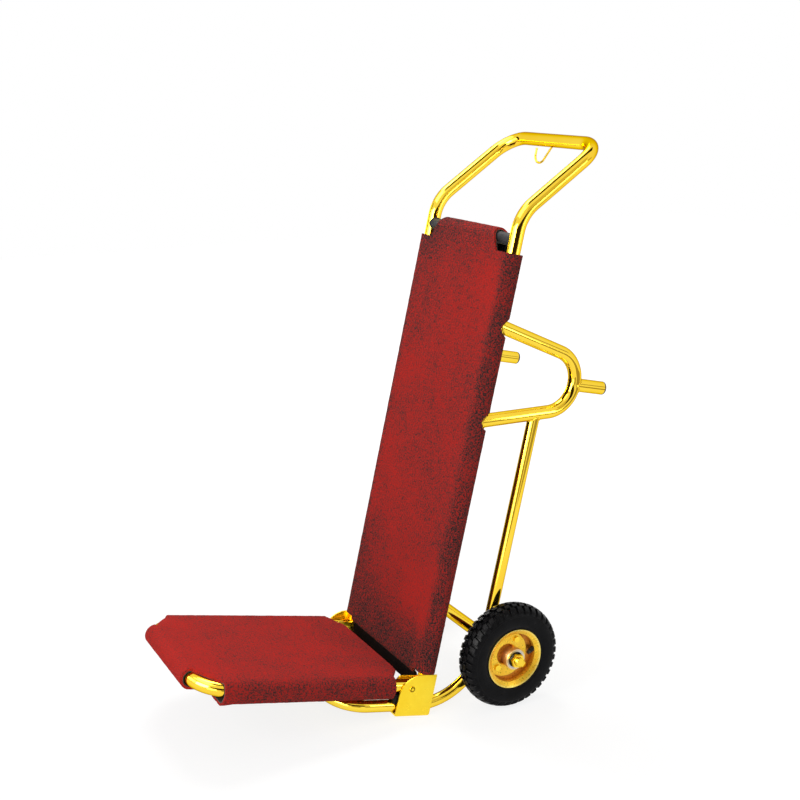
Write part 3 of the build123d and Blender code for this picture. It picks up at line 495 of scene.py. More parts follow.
for name in ("left", "right"):
    eased_copy("bracket_" + name, "hinge_bracket_" + name, 0.5, bracket_gold, "frame", "gold_sheet")
    eased_copy("pad_" + name, "stop_pad_" + name, 0.8, black_rubber, "frame", "black_rubber")
eased_copy("rivets", "pivot_pins", 0.2, bracket_gold, "frame", "gold_sheet")

# Platform tube. A 25 mm tube bent to a U, with two 22 mm cross bars welded between its sides.
# Its ends are drilled and sleeved, and turn on the rivets of the brackets.
steel = noise_finish(
    "plain turned steel",
    (70.0, 4.0),
    (0.3, (0.42, 0.41, 0.39)),
    (0.7, (0.62, 0.61, 0.58)),
    rough=((500.0, 3.0), 0.25, 0.45),
    bump=((1600.0, 2.0), 0.08, 0.0003),
    Metallic=1.0,
)


def paint(node, finish):
    """A solid that shows as it is, with its finish."""
    nodes[node].data.materials.clear()
    nodes[node].data.materials.append(finish)


DECK_FRONT = -433.8
DECK_TAIL, DECK_BEND = 12.0, 62.0
DECK_BARS = (-110.0, -270.0)
platform_line = bent_line(both_sides((PIVOT_Y + DECK_TAIL, PIVOT_Z), (DECK_FRONT, PIVOT_Z)), (DECK_BEND, DECK_BEND))
fix(bent_tube("platform_frame", platform_line, TUBE, gold, TUBE_WALL), "platform", "gold_tube", "platform_tube")
paint("pivot_bushes", steel)
deck_bars, deck_ends = [], []
for y in DECK_BARS:
    bar, ends = cross_bar("deck_bar", y, PIVOT_Z, gold, platform_line)
    deck_bars.append(bar)
    deck_ends += ends


def join(name, parts):
    """Several objects made into one piece."""
    shell = bmesh.new()
    for part in parts:
        shell.from_mesh(part.data)
    mesh = bpy.data.meshes.new(name)
    for finish in parts[0].data.materials:
        mesh.materials.append(finish)
    shell.to_mesh(mesh)
    shell.free()
    for part in parts:
        bpy.data.objects.remove(part)
    return show(name, mesh)


fix(join("platform_bars", deck_bars), "platform", "gold_tube", "platform_cross_bars")
welds("platform_welds", "platform", deck_ends)

# Platform carpet. Needle-punched red carpet on a black backing, laid over the platform tube and
# wrapped down and under it along both sides and the front. Its corners are cut off at a slant.


def marked(tree, name):
    """What a mesh says of each of its points under a name."""
    node = tree.nodes.new("ShaderNodeAttribute")
    node.attribute_name = name
    return node.outputs["Fac"]


def set_marks(made, name, values):
    """Writes a value for each point of a piece under a name."""
    made.data.attributes.new(name, "FLOAT", "POINT").data.foreach_set("value", values)


red_pile, tree, shader, place = new_finish(
    "red needle-punched carpet",
    bump=((620.0, 3.0, 0.7), 0.7, 0.0012),
    Roughness=0.95,
    Specular_IOR_Level=0.02,
    Sheen_Weight=0.02,
    Sheen_Roughness=0.6,
    Sheen_Tint=(1.0, 0.4, 0.35, 1),
)
# Shade is painted into the pile: a mark on each point pushes it towards its darkest tufts, on top of random patches
# of tone.
patches = levels(tree, grain(tree, place, 14.0, 4.0, 0.6), -0.035, 0.035)
shade_and_patches = maths(tree, "MULTIPLY_ADD", marked(tree, "painted_shade"), -0.17, patches)
tufts = maths(tree, "ADD", grain(tree, place, 360.0, 3.0, 0.7), shade_and_patches)
pile = shades(
    tree,
    tufts,
    (0.12, (0.006, 0.005, 0.005)),
    (0.27, (0.032, 0.027, 0.027)),
    (0.36, (0.150, 0.029, 0.026)),
    (0.44, (0.390, 0.024, 0.020)),
    (0.60, (0.490, 0.022, 0.017)),
    (0.80, (0.570, 0.028, 0.020)),
)
tree.links.new(pile, shader.inputs["Base Color"])

backing = noise_finish(
    "black carpet backing",
    (500.0, 3.0),
    (0.3, (0.008, 0.007, 0.007)),
    (0.7, (0.028, 0.020, 0.020)),
    bump=((900.0, 3.0), 0.5, 0.0008),
    Roughness=0.9,
)
CARPET_STEP, BACKING_SHARE = 4.0, 0.3


def even_steps(*marks):
    """Values from mark to mark, evenly spread, no further apart than a step of the carpet's grid."""
    values = [marks[0]]
    for start, end in zip(marks, marks[1:]):
        count = max(1, ceil(abs(end - start) / CARPET_STEP))
        values += [start + (end - start) * k / count for k in range(1, count + 1)]
    return values


def face_out(mesh):
    """Turns the faces of a closed mesh outward."""
    shell = bmesh.new()
    shell.from_mesh(mesh)
    bmesh.ops.recalc_face_normals(shell, faces=shell.faces)
    shell.to_mesh(mesh)
    shell.free()


def carpet_sheet(name, columns, rows, thickness, shape, cut_away, shade_at):
    """A carpet on a grid of columns across and rows along. shape gives the place at a depth of the sheet.
    cut_away says which cells the cut leaves out, and the last function how much shade is painted into the pile at
    each point.
    The pile is above, and the backing shows at the cut edges."""
    cells = [
        (i, j)
        for i in range(len(columns) - 1)
        for j in range(len(rows) - 1)
        if not cut_away((columns[i] + columns[i + 1]) / 2, (rows[j] + rows[j + 1]) / 2)
    ]
    points, faces, marks, shade_values, found = [], [], [], [], {}

    def vertex(i, j, layer):
        key = (i, j, layer)
        if key not in found:
            found[key] = len(points)
            depth = thickness * (0.0, BACKING_SHARE, 1.0)[layer]
            place = shape(columns[i], rows[j], depth)
            if layer == 2:
                top = shape(columns[i], rows[j], thickness + 1.0)
                pile = noise.noise(place * 260) * 0.30 + noise.noise(place * 90) * 0.25
                place = place + (top - place).normalized() * (pile / 1000)
            points.append(place)
            shade_values.append(shade_at(columns[i], rows[j]))
        return found[key]

    sides = {}
    for i, j in cells:
        ring = ((i, j), (i + 1, j), (i + 1, j + 1), (i, j + 1))
        faces.append([vertex(*corner, 2) for corner in ring])
        marks.append(0)
        faces.append([vertex(*corner, 0) for corner in reversed(ring)])
        marks.append(1)
        for start, end in zip(ring, ring[1:] + ring[:1]):
            if (end, start) in sides:
                del sides[(end, start)]
            else:
                sides[(start, end)] = True
    for start, end in sides:
        for low, high, mark in ((1, 2, 0), (0, 1, 1)):
            faces.append([vertex(*start, high), vertex(*start, low), vertex(*end, low), vertex(*end, high)])
            marks.append(mark)
    made = new_piece(name, points, faces=faces)
    made.data.materials.append(red_pile)
    made.data.materials.append(backing)
    made.data.polygons.foreach_set("material_index", marks)
    set_marks(made, "painted_shade", shade_values)
    face_out(made.data)
    soften(made.data, 50)
    return made, cells


DECK_CARPET = 6.5
DECK_WRAP = 13.0
deck_turn = DECK_WRAP + DECK_CARPET / 2
deck_arc = pi * deck_turn
DECK_FLAP = 35.0
DECK_REAR, DECK_SIDE_REAR, DECK_SIDE_FRONT = -43.0, -66.0, -397.0
DECK_REAR_HALF, DECK_FRONT_HALF = 112.0, 94.0


def deck_width(t):
    """The half width of the flat part along the platform: narrower where the corners are cut."""
    if t > DECK_SIDE_REAR:
        share = (t - DECK_SIDE_REAR) / (DECK_REAR - DECK_SIDE_REAR)
        return HALF + (DECK_REAR_HALF - HALF) * share
    if t < DECK_SIDE_FRONT:
        share = min(1.0, (DECK_SIDE_FRONT - t) / (DECK_SIDE_FRONT - DECK_FRONT))
        return HALF + (DECK_FRONT_HALF - HALF) * share
    return HALF


def ease(value):
    """A soft step from 0 to 1."""
    value = max(0.0, min(1.0, value))
    return value * value * (3 - 2 * value)


def wrapped(over, middle, reach):
    """How far out and up a wrapped carpet is at a length past the edge of its flat part.
    It turns half round a tube, its middle at one radius and this depth of it at another, then runs back."""
    turn = min(over / middle, pi)
    return reach * sin(turn) - max(0.0, over - pi * middle), reach * cos(turn)


def deck_shape(s, t, depth):
    """A place of the platform carpet: s across it, t along it, both as lengths of the cloth."""
    reach = DECK_WRAP + depth
    flat = min(abs(s), HALF) / HALF
    corner = max(0.0, min(1.0, (DECK_SIDE_FRONT - t) / (DECK_SIDE_FRONT - DECK_FRONT)))
    x = copysign(flat * (deck_width(t) + (8 * corner + 20 * corner * (1 - corner)) * (s < 0)), s)
    y, z = t, PIVOT_Z + reach
    if abs(s) > HALF:
        over = abs(s) - HALF
        out, up = wrapped(over, deck_turn, reach)
        x = copysign(HALF + out, s)
        z = PIVOT_Z + up - ease(over / deck_arc) * (4.2 + 2.0 * ease((DECK_SIDE_FRONT + 26 - t) / 26))
        y += 0.8 * noise.noise(Vector((s / 7, 3.0, 1.0))) * (t > DECK_SIDE_REAR - 5 or t < DECK_SIDE_FRONT + 5)
    elif t < DECK_FRONT:
        out, up = wrapped(DECK_FRONT - t, deck_turn, reach)
        y, z = DECK_FRONT - out, PIVOT_Z + up
    else:
        hang = sin(pi * min(1.0, (DECK_REAR - t) / (DECK_REAR - DECK_FRONT)))
        z -= 1.2 * hang * (1 - flat**4) * abs(sin((t - DECK_BARS[0]) / (DECK_BARS[0] - DECK_BARS[1]) * pi))
        droop = ease((DECK_SIDE_FRONT + 6 - t) / 12) + 0.6 * ease((t - DECK_SIDE_REAR) / 16)
        z -= 2.2 * ease((flat - 0.84) / 0.16) * droop + 1.2 * ease((t - DECK_REAR + 20) / 20)
    return stand(x, y, z)


def deck_cut(s, t):
    """What the cut of the platform carpet leaves out: the corners beside the wraps."""
    return abs(s) > HALF and not DECK_SIDE_FRONT < t < DECK_SIDE_REAR


def deck_shade(s, t):
    """Shade painted into the platform carpet: darker on its wraps and towards the back, lighter at the front."""
    return 0.28 + 0.36 * ease((abs(s) - HALF + 10) / 26) + 0.1 * ease((t + 180) / 120) - 0.3 * ease((t + 350) / -60)


deck_edge = HALF + deck_arc + DECK_FLAP
deck_columns = even_steps(-deck_edge, -HALF - deck_arc, -HALF, HALF, HALF + deck_arc, deck_edge)
deck_rows = even_steps(
    DECK_FRONT - deck_arc - DECK_FLAP, DECK_FRONT - deck_arc, DECK_FRONT, DECK_SIDE_FRONT, DECK_SIDE_REAR, DECK_REAR
)
deck_carpet, deck_cells = carpet_sheet(
    "platform_carpet_sheet", deck_columns, deck_rows, DECK_CARPET, deck_shape, deck_cut, deck_shade
)
fix(deck_carpet, "platform", "red_carpet", "platform_carpet")


def cut_area(cells, columns, rows, width):
    """The area of a cut carpet lying flat, in square metres, where width scales its columns."""
    return sum(
        (columns[i + 1] - columns[i]) * width((rows[j] + rows[j + 1]) / 2, abs(columns[i] + columns[i + 1]) / 2)
        * abs(rows[j + 1] - rows[j])
        for i, j in cells
    ) / 1e6


cut_area(deck_cells, deck_columns, deck_rows, lambda t, s: deck_width(t) / HALF if s < HALF else 1.0)

# Platform carpet screws. Steel pan-head screws with a cross recess, driven through the wraps
# from below into the platform tube.
screw_tree, given = shape_tree("carpet screws", Screw="Object", Axis="Vector", Finish="Material")
screw_shape = add_node(screw_tree, "GeometryNodeObjectInfo", Object=given["Screw"])
twist = random_between(screw_tree, 0.0, 1.57, seed=3)
twist = output(screw_tree, "FunctionNodeAxisAngleToRotation", Axis=given["Axis"], Angle=twist)
end_spread(screw_tree, given["Finish"], given["Geometry"], screw_shape.outputs["Geometry"], Rotation=twist)
HEAD_SIDES, HEAD_TOP, RECESS_FLOOR = 24, 2.45, 1.2


def screw_head(direction):
    """A domed head with a cross recess on a plain shank, pointing along a direction."""
    shell = bmesh.new()
    rings = ((2.0, -6.0), (2.0, 0.0), (4.5, 0.0), (4.45, 0.8), (4.0, 1.7), (3.2, 2.25), (2.3, HEAD_TOP))
    turns = [2 * pi * k / HEAD_SIDES for k in range(HEAD_SIDES)]
    loops = [
        [shell.verts.new((radius * cos(turn), radius * sin(turn), height)) for turn in turns]
        for radius, height in rings
    ]
    for low, high in zip(loops, loops[1:]):
        for k in range(HEAD_SIDES):
            shell.faces.new((low[k], low[(k + 1) % HEAD_SIDES], high[(k + 1) % HEAD_SIDES], high[k]))
    shell.faces.new(list(reversed(loops[0])))
    outline = []
    for quarter in range(4):
        turn = Matrix.Rotation(quarter * pi / 2, 3, "Z")
        outline += [turn @ Vector(corner) for corner in ((1.7, -0.45, 0), (1.7, 0.45, 0), (0.45, 0.45, 0))]
    top = [shell.verts.new(corner + Vector((0, 0, HEAD_TOP))) for corner in outline]
    floor = [shell.verts.new(corner * 0.8 + Vector((0, 0, RECESS_FLOOR))) for corner in outline]
    edges = [shell.edges.new((top[k], top[(k + 1) % 12])) for k in range(12)]
    edges += [shell.edges.get((loops[-1][k], loops[-1][(k + 1) % HEAD_SIDES])) for k in range(HEAD_SIDES)]
    bmesh.ops.triangle_fill(shell, use_beauty=True, edges=edges)
    for k in range(12):
        shell.faces.new((top[k], top[(k + 1) % 12], floor[(k + 1) % 12], floor[k]))
    shell.faces.new(floor)
    bmesh.ops.recalc_face_normals(shell, faces=shell.faces)
    made = new_piece("screw_shape", [])
    shell.to_mesh(made.data)
    shell.free()
    turn = Vector((0, 0, 1)).rotation_difference(direction).to_matrix().to_4x4()
    made.data.transform(turn @ Matrix.Scale(0.001, 4))
    return made


def screws(name, places, direction, body, node):
    """Screws at their places, all along one direction."""
    shape = screw_head(direction)
    made = new_piece(name, places)
    soften(bake(made, screw_tree, Screw=shape, Axis=direction, Finish=steel))
    bpy.data.objects.remove(shape)
    return fix(made, body, "steel", node)


DECK_SCREWS = (-120, -230, -340)
screws(
    "deck_screws",
    [stand(x, y, PIVOT_Z - DECK_WRAP - DECK_CARPET) for x in (HALF, -HALF) for y in DECK_SCREWS],
    UP * -1,
    "platform",
    "platform_carpet_screws",
)

# Back carpet. The same carpet stretched in front of the uprights and wrapped round them to flaps at the back.
# A tongue goes over the top bar, the hem is turned in under the lower bar, and notches clear the loops' arms.
BACK_CARPET = 5.0
BACK_WRAP = 12.7
back_turn = BACK_WRAP + BACK_CARPET / 2
back_arc = pi * back_turn
BACK_FLAP = 45.0
SIDE_FOOT, SIDE_TOP = 80.0, 856.4
HEM_HALF, HEM_DROP, HEM_SLANT, HEM_INSET, HEM_SKIRT, HEM_BEND = 126.0, 4.0, 9.0, 9.2, 23.0, 7.0
TONGUE_BASE, TONGUE_TOP, TONGUE_TAIL, TAIL_HALF, TONGUE_MEAN = 114.0, 90.0, 36.0, 97.0, 0.86
hem_foot = SIDE_FOOT - HEM_DROP - HEM_SLANT - HEM_SKIRT
hem_line = bent_line(
    (
        (0, -back_turn, SIDE_FOOT),
        (0, -back_turn, SIDE_FOOT - HEM_DROP),
        (0, -back_turn + HEM_INSET, SIDE_FOOT - HEM_DROP - HEM_SLANT),
        (0, -back_turn + HEM_INSET, hem_foot),
    ),
    (HEM_BEND * 1000, HEM_BEND * 1000),
)
tail_start = TOP_BAR_Z + back_arc + TOP_BAR_Z - SIDE_TOP
hem_length = sum((after - before).length for before, after in zip(hem_line, hem_line[1:]))


def hem_place(run, out):
    """A place of the hem at a length down its line, some way out from its middle."""
    for before, after in zip(hem_line, hem_line[1:]):
        step = after - before
        if run <= step.length or after is hem_line[-1]:
            break
        run -= step.length
    down = step.normalized()
    place = before + down * run
    return place.y + down.z * out, place.z - down.y * out


NOTCH_HALF = 16.0
notch_start = HALF + back_arc / 2 - 3.0
notch_zs = [LOOP_Z + rise * (LOOP_SPREAD - TUBE * tan(LOOP_SLOPE)) for rise in (1, -1)]


def notch_open(s):
    """Half the height of a notch at a distance across the carpet: a rounded end, then ragged sides."""
    over = abs(s) - notch_start
    if over <= 0:
        return 0.0
    rounded = sqrt(min(1.0, over / 14.0))
    return NOTCH_HALF * rounded + 1.2 * noise.noise(Vector((s / 6, 8.0, 2.0)))


def back_shape(s, t, depth):
    """A place of the back carpet: s across it, t up along it, both as lengths of the cloth."""
    reach = BACK_WRAP + depth
    x, y, z = s, -reach, t
    if abs(s) > HALF:
        out, up = wrapped(abs(s) - HALF, back_turn, reach)
        x, y = copysign(HALF + out, s), -up
        for notch_z in notch_zs:
            off = t - notch_z
            push = notch_open(s) * max(0.0, 1 - abs(off) / 60) ** 2
            z += copysign(push, off)
    elif t < SIDE_FOOT:
        y, z = hem_place(SIDE_FOOT - t, depth - BACK_CARPET / 2)
    elif t > SIDE_TOP:
        if t > TOP_BAR_Z:
            out, up = wrapped(t - TOP_BAR_Z, back_turn, reach)
            y, z = -up, TOP_BAR_Z + out
        share = max(0.0, min(1.0, (z - SIDE_TOP) / (TOP_BAR_Z + BACK_WRAP + BACK_CARPET - SIDE_TOP)))
        x = s * (1 + (TONGUE_TOP / TONGUE_BASE - 1) * share)
    else:
        free = max(0.0, 1 - (abs(s) / 130) ** 4) * min(1.0, (t - SIDE_FOOT) / 60) * min(1.0, (SIDE_TOP - t) / 60)
        y += free * (0.9 + 0.9 * noise.noise(Vector((s / 110, t / 170, 5.0))))
    return stand(x, y, z)


def back_cut(s, t):
    """What the cut of the back carpet leaves out: beside the hem and the tongue, and the notches."""
    if t < SIDE_FOOT:
        return abs(s) > HEM_HALF
    if t > SIDE_TOP:
        return abs(s) > (TONGUE_BASE if t < tail_start else TAIL_HALF)
    return abs(s) > notch_start and any(abs(t - notch_z) < 1.5 for notch_z in notch_zs)


def back_shade(s, t):
    """Shade painted into the back carpet: darker on its wraps, low down, near the top, at the hem and on the side
    away from the hand.
    """
    low = ease((200 - t) / 100)
    slope = 0.55 * (ease((t - 600) / 200) + ease((330 - t) / 110)) - 0.15
    ends = 0.42 * ease((t - 800) / 80) + 2.4 * ease((SIDE_FOOT - 7 - t) / 7)
    front = 0.36 + 0.6 * low + ends - slope * (1 - low) * s / HALF
    wrap = ease((abs(s) - HALF + 16) / 24)
    return front + (0.86 + 0.2 * low - front) * wrap


back_edge = HALF + back_arc + BACK_FLAP
back_marks = (TAIL_HALF, TONGUE_BASE, HEM_HALF, HALF, notch_start, HALF + back_arc, back_edge)
back_columns = even_steps(*[-mark for mark in reversed(back_marks)], *back_marks)
notch_rows = [notch_z + off for notch_z in reversed(notch_zs) for off in (-1.0, 1.0)]
tongue_rows = (SIDE_TOP, TOP_BAR_Z, TOP_BAR_Z + back_arc, tail_start, TOP_BAR_Z + back_arc + TONGUE_TAIL)
back_rows = even_steps(SIDE_FOOT - hem_length, SIDE_FOOT, *notch_rows, *tongue_rows)
back_sheet, back_cells = carpet_sheet(
    "back_carpet_sheet", back_columns, back_rows, BACK_CARPET, back_shape, back_cut, back_shade
)
fix(back_sheet, "frame", "red_carpet", "back_carpet")
cut_area(back_cells, back_columns, back_rows, lambda t, s: 1.0 if t < SIDE_TOP else TONGUE_MEAN)

# Back carpet screws. The same steel screws as under the platform, driven from behind
# through the flaps of the back carpet into the uprights.
BACK_SCREWS = (170, 470, 800)
screws(
    "back_screws",
    [stand(x, BACK_WRAP + BACK_CARPET, z) for x in (HALF, -HALF) for z in BACK_SCREWS],
    BACK,
    "frame",
    "back_carpet_screws",
)

# Garment hook. 4 mm wire bent to an open hook and welded under the grip,
# plated gold together with the frame.
hook_places = ((-5, 1062), (-27.5, 1030.5), (-52.5, 1030.5), (-52.5, 1058))
hook_line = bent_line([stand(x, GRIP_Y, z) for x, z in hook_places], (16, 16))
fix(bent_tube("hook", hook_line, 2.0, gold, sides=20), "frame", "gold_tube", "garment_hook")

# Axle. A 25 mm tube welded across the backs of the struts, with a 16 mm steel rod through it.
# Collars, washers and a nut on each threaded end hold the wheels.
AXLE_Y, AXLE_Z = 142.5, 131.757
AXLE = Vector(joints["left_wheel_spin"]["pos_m"])
AXLE_TUBE_HALF = 158.0
axle_line = [stand(x, AXLE_Y, AXLE_Z) for x in (-AXLE_TUBE_HALF, AXLE_TUBE_HALF)]
fix(bent_tube("axle_sleeve", axle_line, TUBE, gold, 2.0), "frame", "gold_tube", "axle_tube")
for node in ("axle_collars", "axle_washers", "bearing_spacers"):
    paint(node, steel)


def ring_mesh(name, rings, finish, closed=False):
    """A mesh from rings of points, joined one to the next, the ends closed unless the rings close up."""
    count = len(rings[0])
    points = [point for ring in rings for point in ring]
    faces = []
    last = len(rings) if closed else len(rings) - 1
    for j in range(last):
        low, high = j * count, (j + 1) % len(rings) * count
        faces += [(low + k, low + (k + 1) % count, high + (k + 1) % count, high + k) for k in range(count)]
    if not closed:
        faces.append(list(reversed(range(count))))
        faces.append(list(range((len(rings) - 1) * count, len(rings) * count)))
    made = new_piece(name, points, faces=faces)
    made.data.materials.append(finish)
    face_out(made.data)
    soften(made.data, 45)
    return made


def spun(x, radius, turn):
    """A place round the axle."""
    return Vector((x, radius * cos(turn), radius * sin(turn)))


ROD, ROD_END, ROD_SIDES, CHAMFER = 8.0, 232.0, 40, 1.0
THREAD_START, THREAD_PITCH, THREAD_DEPTH = 213.0, 1.75, 0.55


def rod_radius(station, k):
    """The radius of the rod at one of its sides: plain, then with a thread, then chamfered."""
    if THREAD_START < station < ROD_END - 1.2:
        return ROD - THREAD_DEPTH * abs(2 * ((station / THREAD_PITCH + k / ROD_SIDES) % 1.0) - 1)
    return ROD - CHAMFER * (station == ROD_END)


thread = [THREAD_START + 0.2 * k for k in range(88)]
stations = [0.0, THREAD_START - 1.0, *thread, ROD_END - CHAMFER, ROD_END]
rod_rings = [
    [spun(side * station, rod_radius(station, k), 2 * pi * k / ROD_SIDES) for k in range(ROD_SIDES)]
    for side, along in ((-1, stations[::-1]), (1, stations[1:]))
    for station in along
]
rod = ring_mesh("axle_shaft", rod_rings, gold)
rod.data.transform(Matrix.Translation(AXLE) @ Matrix.Scale(0.001, 4))
fix(rod, "frame", "steel", "axle_rod")
eased_copy("wheel_nuts", "axle_nuts", 0.9, gold, "frame", "gold_tube")
for node in ("bearing_inner_rings", "bearing_outer_rings", "bearing_balls"):
    for name in ("left", "right"):
        paint(node + "_" + name, steel)

# Wheels. Two pressed rim halves, bolted together and welded to a turned hub with a ball bearing at each end,
# carry a 200 mm pneumatic tyre. All of the rim is enamelled gold, deeper in colour than the tubes.
rim_gold, tree, shader, place = new_finish(
    "gold rim enamel",
    rough=((260.0, 3.0), 0.24, 0.38),
    bump=((60.0, 2.0), 0.03, 0.0008),
    Metallic=0.55,
    Specular_IOR_Level=0.2,
)
# The low parts of the web take a deeper brown: this is painted shade in the recesses.
raised = shades(tree, grain(tree, place, 40.0, 4.0), (0.3, (0.92, 0.52, 0.030)), (0.7, (1.0, 0.66, 0.055)))
recess_shade = shades(tree, grain(tree, place, 60.0, 4.0), (0.3, (0.52, 0.19, 0.020)), (0.7, (0.62, 0.25, 0.030)))
# The lip takes a paler gold: this is a painted highlight.
lip_highlight = shades(tree, grain(tree, place, 80.0, 4.0), (0.3, (1.0, 0.72, 0.11)), (0.7, (1.0, 0.84, 0.24)))
web_and_recess_shade = blend(tree, marked(tree, "recess"), raised, recess_shade)
tree.links.new(blend(tree, marked(tree, "lip"), web_and_recess_shade, lip_highlight), shader.inputs["Base Color"])

hub_steel, tree, shader, place = new_finish(
    "hub, enamelled with bare ends", rough=((400.0, 3.0), 0.28, 0.42), Metallic=0.8
)
enamel = shades(tree, grain(tree, place, 60.0, 4.0), (0.3, (0.50, 0.20, 0.022)), (0.7, (0.64, 0.28, 0.036)))
bare = shades(tree, grain(tree, place, 90.0, 4.0), (0.3, (0.80, 0.62, 0.34)), (0.7, (0.95, 0.80, 0.52)))
tree.links.new(blend(tree, marked(tree, "bare"), enamel, bare), shader.inputs["Base Color"])

tyre_rubber = noise_finish(
    "tyre rubber",
    (60.0, 5.0, 0.6),
    (0.3, (0.003, 0.003, 0.0035)),
    (0.62, (0.006, 0.006, 0.007)),
    (0.8, (0.014, 0.013, 0.014)),
    rough=((180.0, 3.0), 0.26, 0.44),
    bump=((800.0, 3.0), 0.2, 0.0005),
    Specular_IOR_Level=0.07,
)

WHEEL_X = 0.190
WEB_FACE, RAISED_FACE, WEB_SPAN, PLATE = 7.0, 16.0, 26.5, 2.0
BOSS_OFFSET, BOSS_ANGLE, BOSS_R, BOSS_RAMP, POCKET_R = 17.0, radians(145.0), 44.0, 3.2, 19.0
HUB_R, RIM_SIDES = 20.0, 216


def turned(name, profile, count, finish):
    """A shape turned round the axle from a closed profile of (x, radius)."""
    rings = [[spun(x, radius, 2 * pi * k / count) for k in range(count)] for x, radius in profile]
    return ring_mesh(name, rings, finish, closed=True)


def web_height(radius, angle):
    """The height of the pressed web at a place of the wheel: low, or on the round boss off its middle."""
    turn = radians(angle)
    off = hypot(
        radius * cos(turn) - BOSS_OFFSET * cos(BOSS_ANGLE),
        radius * sin(turn) - BOSS_OFFSET * sin(BOSS_ANGLE),
    )
    outside = max(off - BOSS_R, POCKET_R - off)
    return WEB_FACE + (RAISED_FACE - WEB_FACE) * ease(0.5 - outside / BOSS_RAMP)


def rim_rings():
    """The rings of a rim half, from the hub out over the web, the flange and its lip, and back behind."""
    angles = [360 * k / RIM_SIDES for k in range(RIM_SIDES)]
    rings = []

    def ring(radius, heights):
        rings.append([spun(x, radius, radians(angle)) for x, angle in zip(heights, angles)])

    for step in range(45):
        radius = HUB_R + 0.05 + WEB_SPAN * step / 44
        ring(radius, [web_height(radius, angle) for angle in angles])
    ring(46.9, [0.4 * web_height(46.6, angle) + 0.6 * 17.7 for angle in angles])
    section = [(47.1, 17.8), (47.8, 18.3), (50.0, 19.7), (53.0, 21.6), (55.6, 23.2), (56.5, 23.8), (57.0, 23.7)]
    section += [(57.1, 23.0), (56.6, 22.0), (53.0, 19.6), (49.6, 17.2), (49.0, 16.4), (49.0, 1.0), (48.4, 0.02)]
    section += [(47.4, 0.02), (47.0, 1.0), (46.8, 3.0)]
    for radius, x in section:
        ring(radius, [x] * RIM_SIDES)
    for step in range(31):
        radius = HUB_R + 0.05 + WEB_SPAN * (1 - step / 30)
        ring(radius, [web_height(radius, angle) - PLATE for angle in angles])
    return rings


def rim_half(name):
    """One rim half, with its low parts marked for painted shade and its lip for a painted highlight."""
    made = ring_mesh(name, rim_rings(), rim_gold, closed=True)
    low, lip = [], []
    for vertex in made.data.vertices:
        radius = hypot(vertex.co.y, vertex.co.z)
        low.append(ease((RAISED_FACE - 1.5 - vertex.co.x) / 5) * ease((47.2 - radius) / 0.8))
        lip.append(ease((radius - 54.0) / 2.4))
    set_marks(made, "recess", low)
    set_marks(made, "lip", lip)
    return made


def on_wheel(made, side, face=1):
    """Puts a shape that was drawn round the left wheel's middle, or mirrored there, in its place on one side."""
    place = Matrix.Translation(AXLE + Vector((side * WHEEL_X, 0, 0)))
    made.data.transform(place @ Matrix.Diagonal((side * face, 1, 1, 1)) @ Matrix.Scale(0.001, 4))
    if side * face < 0:
        made.data.flip_normals()
    return made


TREAD_ROWS, TREAD_SKEW = 38, 0.5
tread_tree, given = shape_tree("tread blocks", Count="Int", Finish="Material")
centres = output(tread_tree, "GeometryNodePoints", Count=given["Count"])
share = maths(tread_tree, "DIVIDE", output(tread_tree, "GeometryNodeInputIndex"), given["Count"])
turn = output(tread_tree, "ShaderNodeCombineXYZ", X=maths(tread_tree, "MULTIPLY", share, 2 * pi))
end_spread(tread_tree, given["Finish"], centres, given["Geometry"], Rotation=turn)
TYRE_R, CROWN_R, GROOVE = 100.0, 38.0, 4.2


def crown(x):
    """The radius of the tread across the tyre."""
    return TYRE_R - CROWN_R + sqrt(CROWN_R**2 - min(abs(x), 20.5) ** 2)


def tread_block(profile, lead):
    """One block of the tread: across the tyre along a profile of (x, top, foot), tapered and slanted."""
    points, faces = [], []
    for x, top, foot in profile:
        slant = TREAD_SKEW * (abs(x) - 4) / 16
        for edge in (-1, 1):
            for radius, spread in ((foot, 0.76), (top, 0.60)):
                points.append(spun(x, radius, pi / TREAD_ROWS * (edge * spread + slant + lead)))
    for k in range(len(profile) - 1):
        a, b = 4 * k, 4 * (k + 1)
        faces += [(a + m, a + n, b + n, b + m) for m, n in ((0, 1), (1, 3), (3, 2), (2, 0))]
    faces.append((0, 2, 3, 1))
    end = 4 * (len(profile) - 1)
    faces.append((end, end + 1, end + 3, end + 2))
    made = new_piece("tread_block", points, faces=faces)
    shell = bmesh.new()
    shell.from_mesh(made.data)
    bmesh.ops.recalc_face_normals(shell, faces=shell.faces)
    edges = [e for e in shell.edges if e.calc_face_angle() > radians(30)]
    bmesh.ops.bevel(shell, geom=edges, offset=0.35, segments=1, affect="EDGES", clamp_overlap=True)
    shell.to_mesh(made.data)
    shell.free()
    return made


